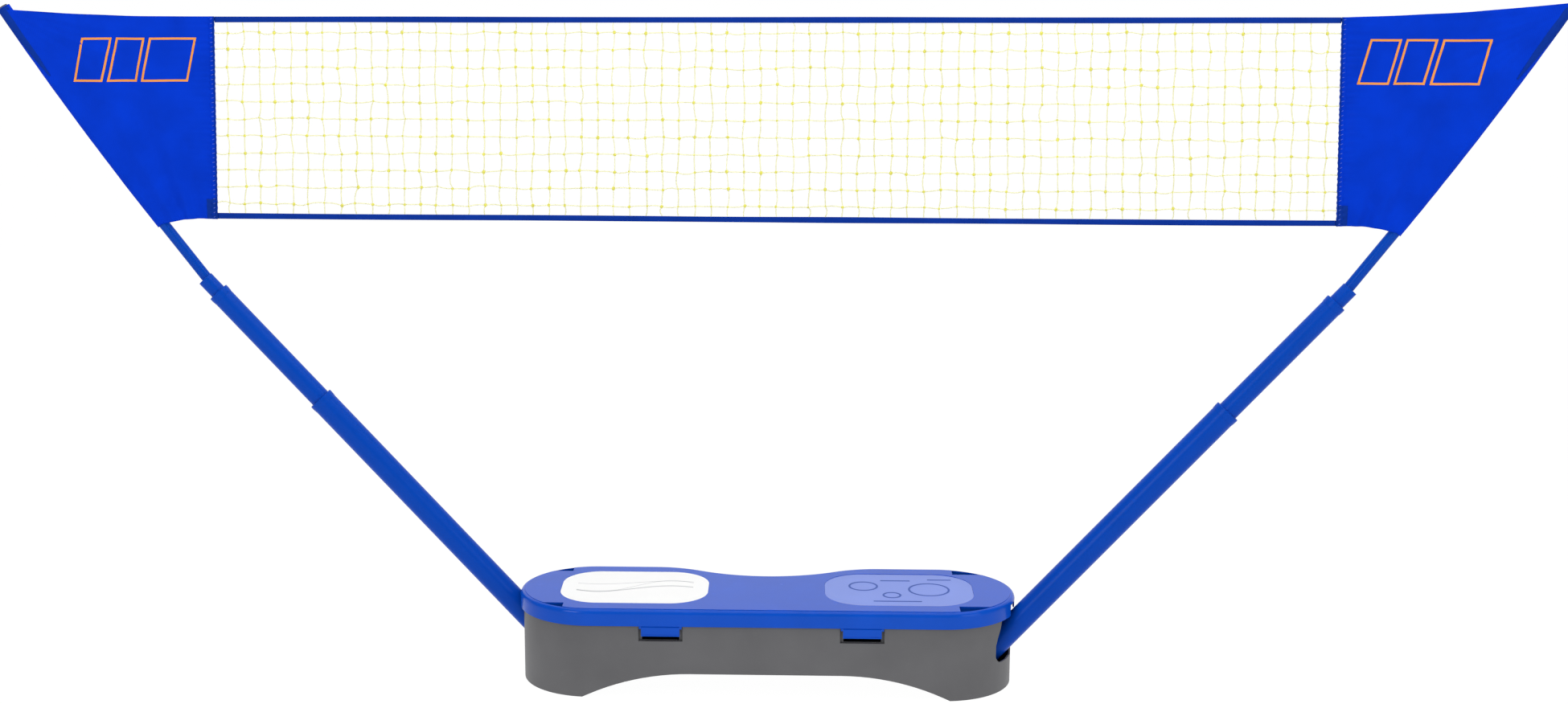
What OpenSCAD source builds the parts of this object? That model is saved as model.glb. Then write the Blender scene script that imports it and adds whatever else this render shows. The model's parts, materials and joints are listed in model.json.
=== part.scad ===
// Play net on two telescopic poles that lean out of a storage case.
// X runs along the net, Y from the front to the back, Z up; the ground is z = 0.
// The right pole is modelled and the left one is the same, turned half a turn about Z.

/* [Case] */
// Length of the lid over its round ends
case_l = 1000; // [900:10:1100]
// Depth of the lid from front to back
case_w = 300; // [290:5:330]
// Height of the lid's raised field above the ground
case_h = 184; // [176:1:210]
// Depth of the waist in the back edge
waist_depth = 58; // [40:1:64]
// Radius of the waist's hollow
waist_r = 285; // [240:5:320]
// Radius of the shoulders beside the waist
shoulder_r = 200; // [150:5:220]

/* [Lid] */
// Height of the lid's skirt up to the ledge
skirt_h = 32.5; // [28:0.5:36]
// Wall of the skirt
lid_wall = 3; // [2.4:0.1:3.4]
// Thickness of the lid's top under the ledge
lid_plate = 3.5; // [3:0.1:4.5]
// Radius of the lid's outer edge
edge_r = 6; // [4:0.5:6.5]
// Height of the raised field over the ledge
field_h = 1.5; // [1:0.1:2.5]
// Width of the ledge round the raised field
ledge_w = 9; // [7:0.5:12]
// Depth of the four finger pockets in the field's corners
pocket_depth = 3; // [2:0.1:3.5]
// Distance of the pockets' inner ends from the case's ends
pocket_in = 102; // [95:1:120]
// Distance of the pockets' straight edges from the centre line
pocket_y = 106; // [96:1:115]
// Length of the label and of the pale panel
plate_l = 298; // [240:2:310]
// Width of the label and of the pale panel
plate_w = 210; // [180:2:212]
// Corner radius of the label and the panel
plate_r = 78; // [40:1:90]
// Distance of the label's and the panel's middles from the case's ends
plate_in = 233; // [225:1:245]
// Thickness of the label and the panel
plate_t = 0.6; // [0.4:0.1:0.8]
// Depth of the pale panel's face below the field
panel_drop = 0.8; // [0.4:0.1:1.2]

/* [Tub] */
// Distance of the tub's wall inside the lid's outline
tub_inset = 6.4; // [6:0.1:8]
// Wall of the tub
tub_wall = 3.5; // [3:0.1:4.5]
// Floor of the tub
tub_floor = 4; // [3:0.1:5]
// Height of the arch between the feet
arch_h = 50; // [40:1:54]
// Length of the arch's flat top
arch_flat = 300; // [240:5:340]
// Radius of the arch's ramps
arch_r = 487; // [430:1:520]

/* [Hinge] */
// Distance of each lid hinge from the case's end
hinge_in = 210; // [190:1:235]
// Radius of the hinge knuckles
knuckle_r = 6; // [5:0.1:6.4]
// Length of the tub's knuckle
knuckle_l = 36; // [30:1:44]
// Length of each of the lid's knuckles
lid_knuckle_l = 18; // [14:1:24]
// Radius of the hinge pins
hinge_pin_r = 2.5; // [2:0.1:3]

/* [Latches] */
// Distance of the left latch from the case's left end
left_latch_in = 292; // [285:1:310]
// Distance of the right latch from the case's right end
right_latch_in = 310; // [285:1:320]
// Width of a latch
latch_w = 76; // [66:1:84]
// Length of a latch below its pin
latch_h = 17; // [14:0.5:20]
// Thickness of a latch's plate
latch_t = 2.6; // [2.2:0.1:3]
// Radius of a latch's barrel
latch_barrel_r = 3; // [2.6:0.1:3.2]
// Radius of a latch's pin
latch_pin_r = 1.4; // [1.2:0.1:1.6]
// Width of the lugs that hold a latch
lug_w = 4; // [3:0.1:5]
// Height of the finger gap below a latch
finger_gap = 12; // [10:0.5:16]
// Depth of the recess behind a latch
recess_depth = 7; // [6:0.1:9]

/* [Handle] */
// Length of the hand's gap in the handle
grip_l = 124; // [100:2:130]
// Thickness of the grip
grip_t = 14; // [12:0.5:16]
// Height of the grip
grip_h = 24; // [18:1:30]
// Gap between the grip and the waist
grip_gap = 31; // [28:1:33]
// Height of the handle's middle above the ground
grip_z = 108; // [90:1:120]
// Length of the handle's mounting pads
pad_l = 24; // [20:1:28]
// Thickness of the mounting pads beyond the wall
pad_t = 8; // [6:0.5:10]
// Radius of the handle screws' shanks
screw_r = 1.75; // [1.5:0.05:1.8]

/* [Poles] */
// Lean of the lower and middle tubes above the ground
pole_angle = 47.6; // [46:0.1:50]
// Distance of the poles in front of and behind the case's centre line
pole_y = 30; // [28:0.5:34]
// Distance of each root pin from the case's end
root_in = 60; // [56:1:68]
// Height of the root pins
root_z = 58.4; // [54:0.2:62]
// Outer radius of the lower tubes
lower_r = 25; // [23:0.5:26]
// Length of the lower tubes above their root pins
lower_top = 685; // [640:1:720]
// Length of the lower tubes below their root pins
lower_tail = 22; // [18:1:25]
// Outer radius of the middle tubes
middle_r = 20.5; // [19.8:0.1:21]
// Wall of the lower tubes
lower_wall = 2.5; // [2:0.1:3]
// Wall of the middle tubes
middle_wall = 2; // [1.6:0.1:2.4]
// Length of the middle tubes that shows
middle_shown = 295; // [290:1:330]
// Length of the middle tubes inside the lower ones
middle_hidden = 80; // [60:1:100]
// Outer radius of the reducers
reducer_r = 16; // [15.8:0.1:16.4]
// Length of the reducers that shows
reducer_shown = 40; // [36:1:46]
// Length of the reducers inside the middle tubes
reducer_hidden = 35; // [25:1:42]
// Radius of the root pins
root_pin_r = 6; // [5:0.1:7]
// Thickness of the root pins' heads
root_head_t = 3; // [2:0.5:4]
// Width of the root pins' heads beyond their shanks
root_head_rim = 2; // [1.5:0.5:3]
// Length of the root plugs above their pins
plug_l = 42; // [36:1:60]
// Thickness of the root plugs' flanges
plug_flange = 3; // [2:0.5:4]
// Thickness of the cheeks that hold the root pins
cheek_t = 6; // [5:0.5:8]
// Width of the cheeks' rims round the root pins
cheek_rim = 8; // [7:0.5:10]
// Half length of the cheeks' feet
cheek_foot = 34; // [28:1:36]
// Gap between a lower tube and its cheeks
cheek_gap = 1.5; // [1:0.1:2]
// Radial thickness of the end collars
collar_t = 1.9; // [1.4:0.1:2.2]
// Length of the end collars over their tubes
collar_l = 12; // [8:1:14]
// Thickness of the end collars' plates
collar_plate = 3; // [2:0.5:4]
// Length of the glide bushes
bush_l = 15; // [12:1:20]
// Width of the slots in the end walls
slot_w = 58; // [56:0.5:60]
// Height of the slots' bottoms
slot_z = 60; // [56:1:62]

/* [Top tubes] */
// Outer radius of the steel top tubes
top_r = 10.75; // [10.5:0.05:10.9]
// Wall of the steel top tubes
top_wall = 1.2; // [0.8:0.1:1.5]
// Turn of the top tubes towards the net
kink = 5.5; // [4.5:0.1:5.6]
// Depth in the reducer at which the two axes cross
kink_depth = 36.5; // [35:0.5:38]
// Length of the top tubes inside the reducers
top_hidden = 45; // [40:1:46]
// Length of bare steel between reducer and sleeve
top_bare = 136; // [125:1:150]
// Length of the bowed stretch in the sleeve
top_sleeved = 515; // [480:1:540]
// Bow of that stretch under the net's pull, in degrees
top_bow = 4.4; // [3:0.1:5.5]
// Length of the tip caps' heads
cap_l = 8; // [6:0.5:12]
// Gap between a tip cap's head and the sleeve's closed end
cap_gap = 0.7; // [0.4:0.1:1.5]

/* [Net] */
// Half length of the mesh at its top
net_top_x = 1084; // [1060:1:1100]
// Half length of the mesh at its bottom
net_bottom_x = 1095; // [1070:1:1110]
// Height of the top tape's middle
net_top_z = 1327; // [1290:1:1330]
// Height of the bottom tape's middle
net_bottom_z = 939; // [930:1:960]
// Width of the tapes
tape_w = 12; // [10:0.5:16]
// Thickness of the tapes
tape_t = 4; // [3:0.5:5]
// Number of gaps along the mesh
net_columns = 37; // [20:1:37]
// Number of gaps up the mesh
net_rows = 8; // [4:1:8]
// Width of the mesh's strings
string_w = 2.4; // [1.6:0.2:3.2]
// Distance of the net's ends from the case's centre line
net_y = 25; // [22:0.5:26]
// Width of the hem between mesh and side panel
hem_w = 12; // [10:0.5:16]
// Thickness of the hem
hem_t = 5; // [4:0.5:6]
// Thickness of a side panel's fabric, folds apart
panel_t = 1.6; // [1.2:0.1:2]
// Height of a side panel's folds
fold_h = 5; // [2:0.5:7]
// Number of folds across a side panel
fold_count = 3; // [2:1:4]
// Thickness of the pole sleeve's fabric
sleeve_t = 1.8; // [1.4:0.1:2.2]

/* [Hidden] */
$fn = 96;

case_grey = [0.45, 0.455, 0.465];
lid_blue = [0.10, 0.26, 0.78];
pale_blue = [0.55, 0.62, 0.93];
label_white = [0.95, 0.95, 0.94];
pole_blue = [0.03, 0.28, 0.72];
fabric_blue = [0.02, 0.20, 0.78];
tape_blue = [0.05, 0.17, 0.60];
net_yellow = [0.93, 0.90, 0.45];
pin_steel = [0.70, 0.71, 0.73];

gap = 0.3;      // between pieces that move past each other
seat = 0.15;    // round a piece that sits in or on another of its own body
reach = 1;      // how far a cutter passes the face that it cuts

// The case stands a little in front of the origin, so that its hinges end as far
// behind the origin as the lid ends in front of it.
hinge_y = case_w / 2 + knuckle_r / 3;
case_y = -(hinge_y + knuckle_r - case_w / 2) / 2;

ledge_z = case_h - field_h;
skirt_z = ledge_z - skirt_h;
lid_under = ledge_z - lid_plate;
tub_h = lid_under - gap;
hinge_z = skirt_z - knuckle_r * 2 / 3;
end_x = (case_l - case_w) / 2;
edge_steps = 5;
pocket_x = case_l / 2 - pocket_in;
plate_x = case_l / 2 - plate_in;
hinge_x = case_l / 2 - hinge_in;
left_latch_x = left_latch_in - case_l / 2;
right_latch_x = case_l / 2 - right_latch_in;
root_x = case_l / 2 - root_in;

waist_y = case_w / 2 - waist_depth + waist_r;
shoulder_y = case_w / 2 - shoulder_r;
shoulder_x = sqrt(pow(waist_r + shoulder_r, 2) - pow(waist_y - shoulder_y, 2));

latch_y = -case_w / 2 + latch_barrel_r + latch_t / 2;
latch_z = skirt_z - latch_barrel_r - gap;
recess_y = case_w / 2 - tub_inset - recess_depth;
recess_w = latch_w + 2 * (lug_w + 2 * gap + 1);

pole_dir = [cos(pole_angle), sin(pole_angle)];
middle_top = lower_top + middle_shown;
reducer_top = middle_top + reducer_shown;
lower_bore = lower_r - lower_wall;
middle_bore = middle_r - middle_wall;
cheek_y = lower_r + cheek_gap;

// Top tube: a straight stretch that starts in the reducer, then a bowed one.
top_angle = pole_angle + kink;
kink_at = reducer_top - kink_depth;
top_start = kink_depth - top_hidden;
bow_start = kink_depth / cos(kink) + top_bare;
bow_r = top_sleeved / (top_bow * PI / 180);
sleeve_r = top_r + gap + sleeve_t;
arc_fn = 2160;

panel_rows = 22;
panel_columns = 20;

function mix(a, b, t) = a + (b - a) * t;

// A point [x, z] of the right top tube's plane, at a place along its bow in
// degrees and a distance from its axis towards the net.
function bow_point(turn, off) =
    let (
        side = -bow_r + (bow_r - off) * cos(turn),
        along = bow_start + (bow_r - off) * sin(turn),
        origin = [root_x, root_z] + kink_at * pole_dir
    )
    origin + along * [cos(top_angle), sin(top_angle)] + side * [sin(top_angle), -cos(top_angle)];

// The turn along the bow, in degrees, that a length there takes.
function turn_of(length) = top_bow * length / top_sleeved;

// Half length of the mesh at a height.
function net_half(z) =
    mix(net_bottom_x, net_top_x, (z - net_bottom_z) / (net_top_z - net_bottom_z));

// ---- Placing ----------------------------------------------------------------

module in_case() {
    translate([0, case_y, 0]) children();
}

module right_side() {
    in_case() children();
}

module left_side() {
    in_case() rotate([0, 0, 180]) children();
}

// Children stand on the right pole's axis, with +Z up the pole.
module on_pole(t = 0) {
    translate([root_x, -pole_y, root_z])
        rotate([0, 90 - pole_angle, 0])
            translate([0, 0, t]) children();
}

// Children stand on the right top tube's axis, from where it crosses the pole's.
module on_top_tube(t = 0) {
    on_pole(kink_at) rotate([0, -kink, 0]) translate([0, 0, t]) children();
}

// A flat shape swept along the top tube's bow, between two turns in degrees.
module along_bow(from = 0, to = top_bow) {
    on_top_tube(bow_start)
        translate([-bow_r, 0, 0])
            rotate([90, 0, 0])
                rotate([0, 0, from])
                    rotate_extrude(angle = to - from, $fn = arc_fn)
                        translate([bow_r, 0]) children();
}

// ---- Shapes -----------------------------------------------------------------

module ring(outer, inner) {
    difference() {
        circle(r = outer);
        circle(r = inner);
    }
}

module tube(outer, inner, from, to) {
    translate([0, 0, from]) linear_extrude(to - from) ring(outer, inner);
}

module rod_x(r, length, y, z) {
    translate([-length / 2, y, z]) rotate([0, 90, 0]) cylinder(r = r, h = length);
}

module round_rect(l, w, r) {
    square([l - 2 * r, w], center = true);
    square([l, w - 2 * r], center = true);
    for (x = [-1, 1], y = [-1, 1])
        translate([x * (l / 2 - r), y * (w / 2 - r)]) circle(r = r);
}

// The hollow in the back edge: one arc, eased into the edge by two shoulders.
module waist(inset) {
    edge = case_w / 2 - inset;
    t = (shoulder_r - inset) / (waist_r + shoulder_r);
    touch = [shoulder_x * (1 - t), mix(shoulder_y, waist_y, t)];
    translate([0, waist_y]) circle(r = waist_r + inset);
    difference() {
        polygon([
            [-shoulder_x, edge + reach], [-shoulder_x, edge], [-touch[0], touch[1]],
            [touch[0], touch[1]], [shoulder_x, edge], [shoulder_x, edge + reach]
        ]);
        for (s = [-1, 1])
            translate([s * shoulder_x, shoulder_y]) circle(r = shoulder_r - inset);
    }
}

// The case seen from above, drawn in from the lid's outline by inset.
module plan(inset) {
    half = case_w / 2 - inset;
    difference() {
        union() {
            for (s = [-1, 1]) translate([s * end_x, 0]) circle(r = half);
            translate([-end_x, -half]) square([2 * end_x, 2 * half]);
        }
        waist(inset);
    }
}

module plan_slab(inset, from, to) {
    translate([0, 0, from]) linear_extrude(to - from) plan(inset);
}

// The space below the tub, raised by grow.
module arch(grow) {
    rotate([90, 0, 0])
        linear_extrude(2 * case_w, center = true) {
            translate([-arch_flat / 2, -reach]) square([arch_flat, arch_h + grow + reach]);
            for (s = [-1, 1])
                translate([s * arch_flat / 2, arch_h - arch_r]) circle(r = arch_r + grow);
        }
}

// ---- Case -------------------------------------------------------------------

module tub_shell() {
    difference() {
        plan_slab(tub_inset, 0, tub_h);
        arch(0);
        difference() {
            plan_slab(tub_inset + tub_wall, tub_floor, tub_h + reach);
            arch(tub_floor);
        }
    }
}

// A box open to the front and the top that a latch hangs in.
module latch_recess(grow) {
    bottom = latch_z - latch_h - finger_gap;
    translate([-recess_w / 2 - grow, -recess_y - recess_depth - (grow == 0 ? reach : 0), bottom - grow])
        cube([
            recess_w + 2 * grow,
            recess_depth + grow + (grow == 0 ? reach : 0),
            tub_h - bottom + grow + (grow == 0 ? reach : 0)
        ]);
}

// Two cheeks on the tub's floor with the root pin's bore through both.
module root_cheeks() {
    head = root_pin_r + cheek_rim;
    for (s = [-1, 1])
        translate([root_x, -pole_y + s * (cheek_y + cheek_t / 2), 0])
            rotate([90, 0, 0])
                linear_extrude(cheek_t, center = true) {
                    translate([0, root_z]) circle(r = head);
                    polygon([[-cheek_foot, tub_floor / 2], [cheek_foot, tub_floor / 2], [head, root_z], [-head, root_z]]);
                }
}

// The slot in the end wall that the pole leans out of.
module end_slot(bottom, top) {
    translate([root_x + slot_w / 2, -pole_y - slot_w / 2, bottom + slot_w / 2])
        cube([case_l / 2 - root_x, slot_w, top - bottom]);
    translate([root_x + slot_w / 2, -pole_y, bottom + slot_w / 2])
        rotate([0, 90, 0]) cylinder(r = slot_w / 2, h = case_l / 2 - root_x);
}

module tub_knuckle() {
    rod_x(knuckle_r, knuckle_l, hinge_y, hinge_z);
    translate([-knuckle_l / 2, case_w / 2 - tub_inset - tub_wall / 2, hinge_z - knuckle_r])
        cube([knuckle_l, hinge_y - case_w / 2 + tub_inset + tub_wall / 2, knuckle_r]);
}

// Rises of the waist wall where the handle's pads stand.
function wall_at(x) = waist_y - sqrt(pow(waist_r + tub_inset, 2) - x * x);
screw_x = (grip_l + pad_l) / 2 + grip_t / 2;
pad_y = wall_at(screw_x) + pad_t;

module base_tub() color(case_grey) in_case() difference() {
    union() {
        tub_shell();
        for (x = [left_latch_x, right_latch_x])
            translate([x, 0, 0]) latch_recess(tub_wall);
        for (s = [0, 180]) rotate([0, 0, s]) root_cheeks();
        for (s = [-1, 1]) translate([s * hinge_x, 0, 0]) tub_knuckle();
    }
    for (x = [left_latch_x, right_latch_x])
        translate([x, 0, 0]) latch_recess(0);
    for (s = [0, 180])
        rotate([0, 0, s]) {
            end_slot(slot_z, tub_h + reach);
            translate([root_x, -pole_y, root_z])
                rotate([90, 0, 0])
                    cylinder(r = root_pin_r + seat, h = 2 * (cheek_y + cheek_t + reach), center = true);
        }
    rod_x(hinge_pin_r + seat, case_l, hinge_y, hinge_z);
    for (s = [-1, 1])
        translate([s * screw_x, pad_y + reach, grip_z])
            rotate([90, 0, 0]) cylinder(r = screw_r + seat, h = pad_t + 3 * tub_wall + reach);
}

module carry_handle() color(lid_blue) in_case() difference() {
    grip_y = waist_y - waist_r - tub_inset + grip_gap;
    translate([0, 0, grip_z - grip_h / 2])
        linear_extrude(grip_h)
            difference() {
                union() {
                    translate([0, grip_y + grip_t / 2])
                        round_rect(grip_l + 2 * grip_t, grip_t, grip_t / 2 - 0.5);
                    for (s = [-1, 1]) {
                        translate([s * (grip_l + grip_t) / 2 - grip_t / 2, grip_y - grip_gap])
                            square([grip_t, grip_gap + grip_t / 2]);
                        translate([s * screw_x - pad_l / 2 - grip_t / 2, grip_y - grip_gap])
                            square([pad_l + grip_t, pad_y - grip_y + grip_gap]);
                    }
                }
                plan(tub_inset - gap);
            }
    for (s = [-1, 1])
        translate([s * screw_x, pad_y + reach, grip_z])
            rotate([90, 0, 0]) cylinder(r = screw_r + seat, h = 2 * pad_t);
}

module handle_screws() color(pin_steel) in_case()
    for (s = [-1, 1])
        translate([s * screw_x, pad_y + seat, grip_z])
            rotate([90, 0, 0]) {
                translate([0, 0, -screw_r]) cylinder(r = 2 * screw_r, h = screw_r);
                cylinder(r = screw_r, h = pad_t + 2 * tub_wall);
            }

module hinge_pins() color(pin_steel) in_case()
    for (s = [-1, 1])
        translate([s * hinge_x, 0, 0])
            rod_x(hinge_pin_r, knuckle_l + 2 * (lid_knuckle_l + 2 * gap), hinge_y, hinge_z);

// ---- Lid --------------------------------------------------------------------

// The skirt, the rounded edge in thin layers, the ledge and the raised field.
module lid_outside() {
    layer = edge_r / edge_steps;
    plan_slab(0, skirt_z, ledge_z - edge_r);
    for (i = [1 : edge_steps])
        plan_slab(
            edge_r - sqrt(edge_r * edge_r - pow((i - 0.5) * layer, 2)),
            ledge_z - edge_r + (i - 1) * layer, ledge_z - edge_r + i * layer
        );
    plan_slab(ledge_w, ledge_z, case_h);
}

module lid_knuckles() {
    for (s = [-1, 1])
        translate([s * (knuckle_l / 2 + gap + lid_knuckle_l / 2), 0, 0]) {
            rod_x(knuckle_r, lid_knuckle_l, hinge_y, hinge_z);
            translate([-lid_knuckle_l / 2, case_w / 2 - lid_wall, hinge_z])
                cube([lid_knuckle_l, hinge_y - case_w / 2 + lid_wall, skirt_z - hinge_z + knuckle_r]);
        }
}

module latch_lugs() {
    for (s = [-1, 1])
        translate([s * (latch_w / 2 + gap + lug_w / 2), 0, 0]) {
            rod_x(latch_barrel_r, lug_w, latch_y, latch_z);
            translate([-lug_w / 2, latch_y - latch_barrel_r, latch_z])
                cube([lug_w, 2 * latch_barrel_r, skirt_z - latch_z + latch_barrel_r]);
        }
}

// The finger pockets: straight inner edges, open to the ledge.
module corner_pockets() {
    translate([0, 0, case_h - pocket_depth])
        linear_extrude(pocket_depth + reach)
            intersection() {
                plan(ledge_w);
                for (x = [-1, 1], y = [-1, 1])
                    translate([x * (pocket_x + end_x / 2), y * (pocket_y + case_w / 4)])
                        square([end_x, case_w / 2], center = true);
            }
}

module lid_shell() color(lid_blue) in_case() difference() {
    union() {
        difference() {
            lid_outside();
            plan_slab(lid_wall, skirt_z - reach, lid_under);
            for (s = [-1, 1])
                translate([s * hinge_x - knuckle_l / 2 - gap, case_w / 2 - 2 * lid_wall, skirt_z - reach])
                    cube([knuckle_l + 2 * gap, 3 * lid_wall, knuckle_r / 2 + reach + 1]);
        }
        for (s = [-1, 1]) translate([s * hinge_x, 0, 0]) lid_knuckles();
        for (x = [left_latch_x, right_latch_x]) translate([x, 0, 0]) latch_lugs();
    }
    corner_pockets();
    translate([-plate_x, 0, case_h - plate_t])
        linear_extrude(plate_t + reach) round_rect(plate_l + 2 * seat, plate_w + 2 * seat, plate_r);
    translate([plate_x, 0, case_h - panel_drop - plate_t])
        linear_extrude(panel_drop + plate_t + reach)
            round_rect(plate_l + 2 * seat, plate_w + 2 * seat, plate_r);
    for (s = [0, 180])
        rotate([0, 0, s])
            translate([case_l / 2 - slot_w / 2, -pole_y - slot_w / 2, skirt_z - reach])
                cube([slot_w, slot_w, lid_under - skirt_z - 2 * lid_wall + reach]);
    rod_x(hinge_pin_r + gap, case_l, hinge_y, hinge_z);
    for (x = [left_latch_x, right_latch_x])
        translate([x, 0, 0]) rod_x(latch_pin_r + seat, recess_w, latch_y, latch_z);
}

module label_plate() color(label_white) in_case()
    translate([-plate_x, 0, case_h - plate_t])
        linear_extrude(plate_t) round_rect(plate_l, plate_w, plate_r);

module info_panel() color(pale_blue) in_case()
    translate([plate_x, 0, case_h - panel_drop - plate_t])
        linear_extrude(plate_t) round_rect(plate_l, plate_w, plate_r);

module latch_pins() color(pin_steel) in_case()
    for (x = [left_latch_x, right_latch_x])
        translate([x, 0, 0]) rod_x(latch_pin_r, latch_w + 2 * (lug_w + gap), latch_y, latch_z);

// A latch: barrel, plate and a lip for the finger, drawn across the case's front.
module latch() {
    face = latch_y - latch_barrel_r;
    difference() {
        rotate([90, 0, 90])
            linear_extrude(latch_w, center = true) {
                translate([latch_y, latch_z]) circle(r = latch_barrel_r);
                translate([face, latch_z - latch_h]) square([latch_t, latch_h]);
                translate([face - 1, latch_z - latch_h]) square([latch_t, latch_t]);
            }
        rod_x(latch_pin_r + gap, latch_w + 2 * reach, latch_y, latch_z);
    }
}

module left_latch() color(lid_blue) in_case() translate([left_latch_x, 0, 0]) latch();

module right_latch() color(lid_blue) in_case() translate([right_latch_x, 0, 0]) latch();

// ---- Poles ------------------------------------------------------------------

module root_pin_bore(r) {
    rotate([90, 0, 0]) cylinder(r = r, h = 4 * lower_r, center = true);
}

module lower_tube() color(pole_blue) on_pole() difference() {
    tube(lower_r, lower_bore, -lower_tail, lower_top);
    root_pin_bore(root_pin_r + seat);
}

module root_plug() color(case_grey) on_pole() difference() {
    union() {
        translate([0, 0, -lower_tail]) cylinder(r = lower_bore - seat, h = lower_tail + plug_l);
        translate([0, 0, -lower_tail - plug_flange]) cylinder(r = lower_r, h = plug_flange - seat);
        translate([0, 0, -lower_tail - plug_flange / 2]) cylinder(r = lower_bore - seat, h = plug_flange);
    }
    root_pin_bore(root_pin_r + seat);
}

module root_pin() color(pin_steel)
    translate([root_x, -pole_y, root_z])
        rotate([90, 0, 0]) {
            cylinder(r = root_pin_r, h = 2 * (cheek_y + cheek_t + root_head_t), center = true);
            for (s = [-1, 1])
                translate([0, 0, s * (cheek_y + cheek_t + (root_head_t + seat) / 2)])
                    cylinder(r = root_pin_r + root_head_rim, h = root_head_t - seat, center = true);
        }

// A collar over a tube's end, with a plate that the next tube passes through.
module end_collar(tube_r, bore, end) {
    tube(tube_r + seat + collar_t, tube_r + seat, end - collar_l, end + seat);
    tube(tube_r + seat + collar_t, bore, end + seat, end + seat + collar_plate);
}

module lower_collar() color(pole_blue) on_pole()
    end_collar(lower_r, middle_r + gap, lower_top);

module middle_tube() color(pole_blue) on_pole()
    tube(middle_r, middle_bore, lower_top - middle_hidden, middle_top);

module middle_collar() color(pole_blue) on_pole()
    end_collar(middle_r, reducer_r + seat, middle_top);

// The glide bush round the middle tube's lower end, which the lower collar stops.
module middle_bush() color(case_grey) on_pole()
    tube(lower_bore - gap, middle_r + seat, lower_top - middle_hidden, lower_top - middle_hidden + bush_l);

// The reducer in the middle tube's end. Its bore leans with the top tube.
module reducer() color(pole_blue) difference() {
    on_pole() {
        translate([0, 0, middle_top - reducer_hidden])
            cylinder(r = middle_bore - seat, h = reducer_hidden);
        translate([0, 0, middle_top - reach]) cylinder(r = reducer_r, h = reducer_shown + reach);
    }
    on_top_tube(-2 * reducer_hidden - reducer_shown)
        cylinder(r = top_r + gap, h = 4 * (reducer_hidden + reducer_shown));
}

module top_tube() color(pole_blue) {
    on_top_tube() tube(top_r, top_r - top_wall, top_start, bow_start);
    along_bow() ring(top_r, top_r - top_wall);
}

// Children stand on the top tube's axis at its tip, with +Z outwards.
module at_tip() {
    on_top_tube(bow_start)
        translate([-bow_r, 0, 0])
            rotate([0, -top_bow, 0])
                translate([bow_r, 0, 0]) children();
}

module tip_cap() color(case_grey) at_tip() {
    translate([0, 0, -2 * cap_l]) cylinder(r = top_r - top_wall - seat, h = 2 * cap_l + seat);
    translate([0, 0, seat]) cylinder(r = top_r, h = cap_l / 2);
    translate([0, 0, seat + cap_l / 2]) cylinder(r = top_r * 0.8, h = cap_l / 2);
}

// The fabric sleeve round the top tube, closed past its tip.
module sleeve() color(fabric_blue) difference() {
    along_bow(0, top_bow + turn_of(cap_l + cap_gap + sleeve_t)) circle(r = sleeve_r);
    along_bow(-turn_of(reach), top_bow + turn_of(cap_l + cap_gap)) circle(r = top_r + gap);
}

// ---- Side panels ------------------------------------------------------------

hem_top = [net_top_x + hem_w, net_top_z + tape_w / 2];
hem_bottom = [net_bottom_x + hem_w, net_bottom_z - tape_w / 2];

// A point of the right panel: u from the hem to the sleeve, v from bottom to top.
// The folds run along the pole, and die out at the hem and the sleeve.
function panel_point(u, v, side) =
    let (
        inner = mix(hem_bottom + [gap, 0], hem_top + [gap, 0], v),
        outer = bow_point(top_bow * v, sleeve_r + gap),
        at = mix(inner, outer, u),
        fold = fold_h * sin(180 * u) * sin(360 * fold_count * u + 70 * v)
    )
    [at[0], -mix(net_y, pole_y, u) + fold + side * panel_t / 2, at[1]];

function panel_index(i, j, side) = (i * (panel_rows + 1) + j) * 2 + side;

// Two triangles of a four-cornered cell.
function cell(a, b, c, d) = [[a, b, c], [a, c, d]];

module side_panel() color(fabric_blue) {
    nodes = [
        for (i = [0 : panel_columns], j = [0 : panel_rows], side = [0, 1])
            panel_point(i / panel_columns, j / panel_rows, 2 * side - 1)
    ];
    faces = [
        for (i = [0 : panel_columns - 1], j = [0 : panel_rows - 1])
            each concat(
                cell(panel_index(i, j, 0), panel_index(i, j + 1, 0),
                     panel_index(i + 1, j + 1, 0), panel_index(i + 1, j, 0)),
                cell(panel_index(i, j, 1), panel_index(i + 1, j, 1),
                     panel_index(i + 1, j + 1, 1), panel_index(i, j + 1, 1))
            ),
        for (i = [0 : panel_columns - 1])
            each concat(
                cell(panel_index(i, 0, 0), panel_index(i + 1, 0, 0),
                     panel_index(i + 1, 0, 1), panel_index(i, 0, 1)),
                cell(panel_index(i, panel_rows, 0), panel_index(i, panel_rows, 1),
                     panel_index(i + 1, panel_rows, 1), panel_index(i + 1, panel_rows, 0))
            ),
        for (j = [0 : panel_rows - 1])
            each concat(
                cell(panel_index(0, j, 0), panel_index(0, j, 1),
                     panel_index(0, j + 1, 1), panel_index(0, j + 1, 0)),
                cell(panel_index(panel_columns, j, 0), panel_index(panel_columns, j + 1, 0),
                     panel_index(panel_columns, j + 1, 1), panel_index(panel_columns, j, 1))
            )
    ];
    polyhedron(points = nodes, faces = faces, convexity = 6);
}

// The hem along the panel's inner edge.
module hem() color(tape_blue)
    translate([0, -net_y, 0])
        rotate([90, 0, 0])
            linear_extrude(hem_t, center = true)
                polygon([hem_bottom - [hem_w - gap, 0], hem_bottom, hem_top, hem_top - [hem_w - gap, 0]]);

// ---- Net --------------------------------------------------------------------

// Children's X runs along the net, from hem to hem, and their Y up.
module in_net_plane(thick) {
    rotate([0, 0, -atan(net_y / net_half(0.5 * (net_top_z + net_bottom_z)))])
        rotate([90, 0, 0])
            linear_extrude(thick, center = true) children();
}

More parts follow.
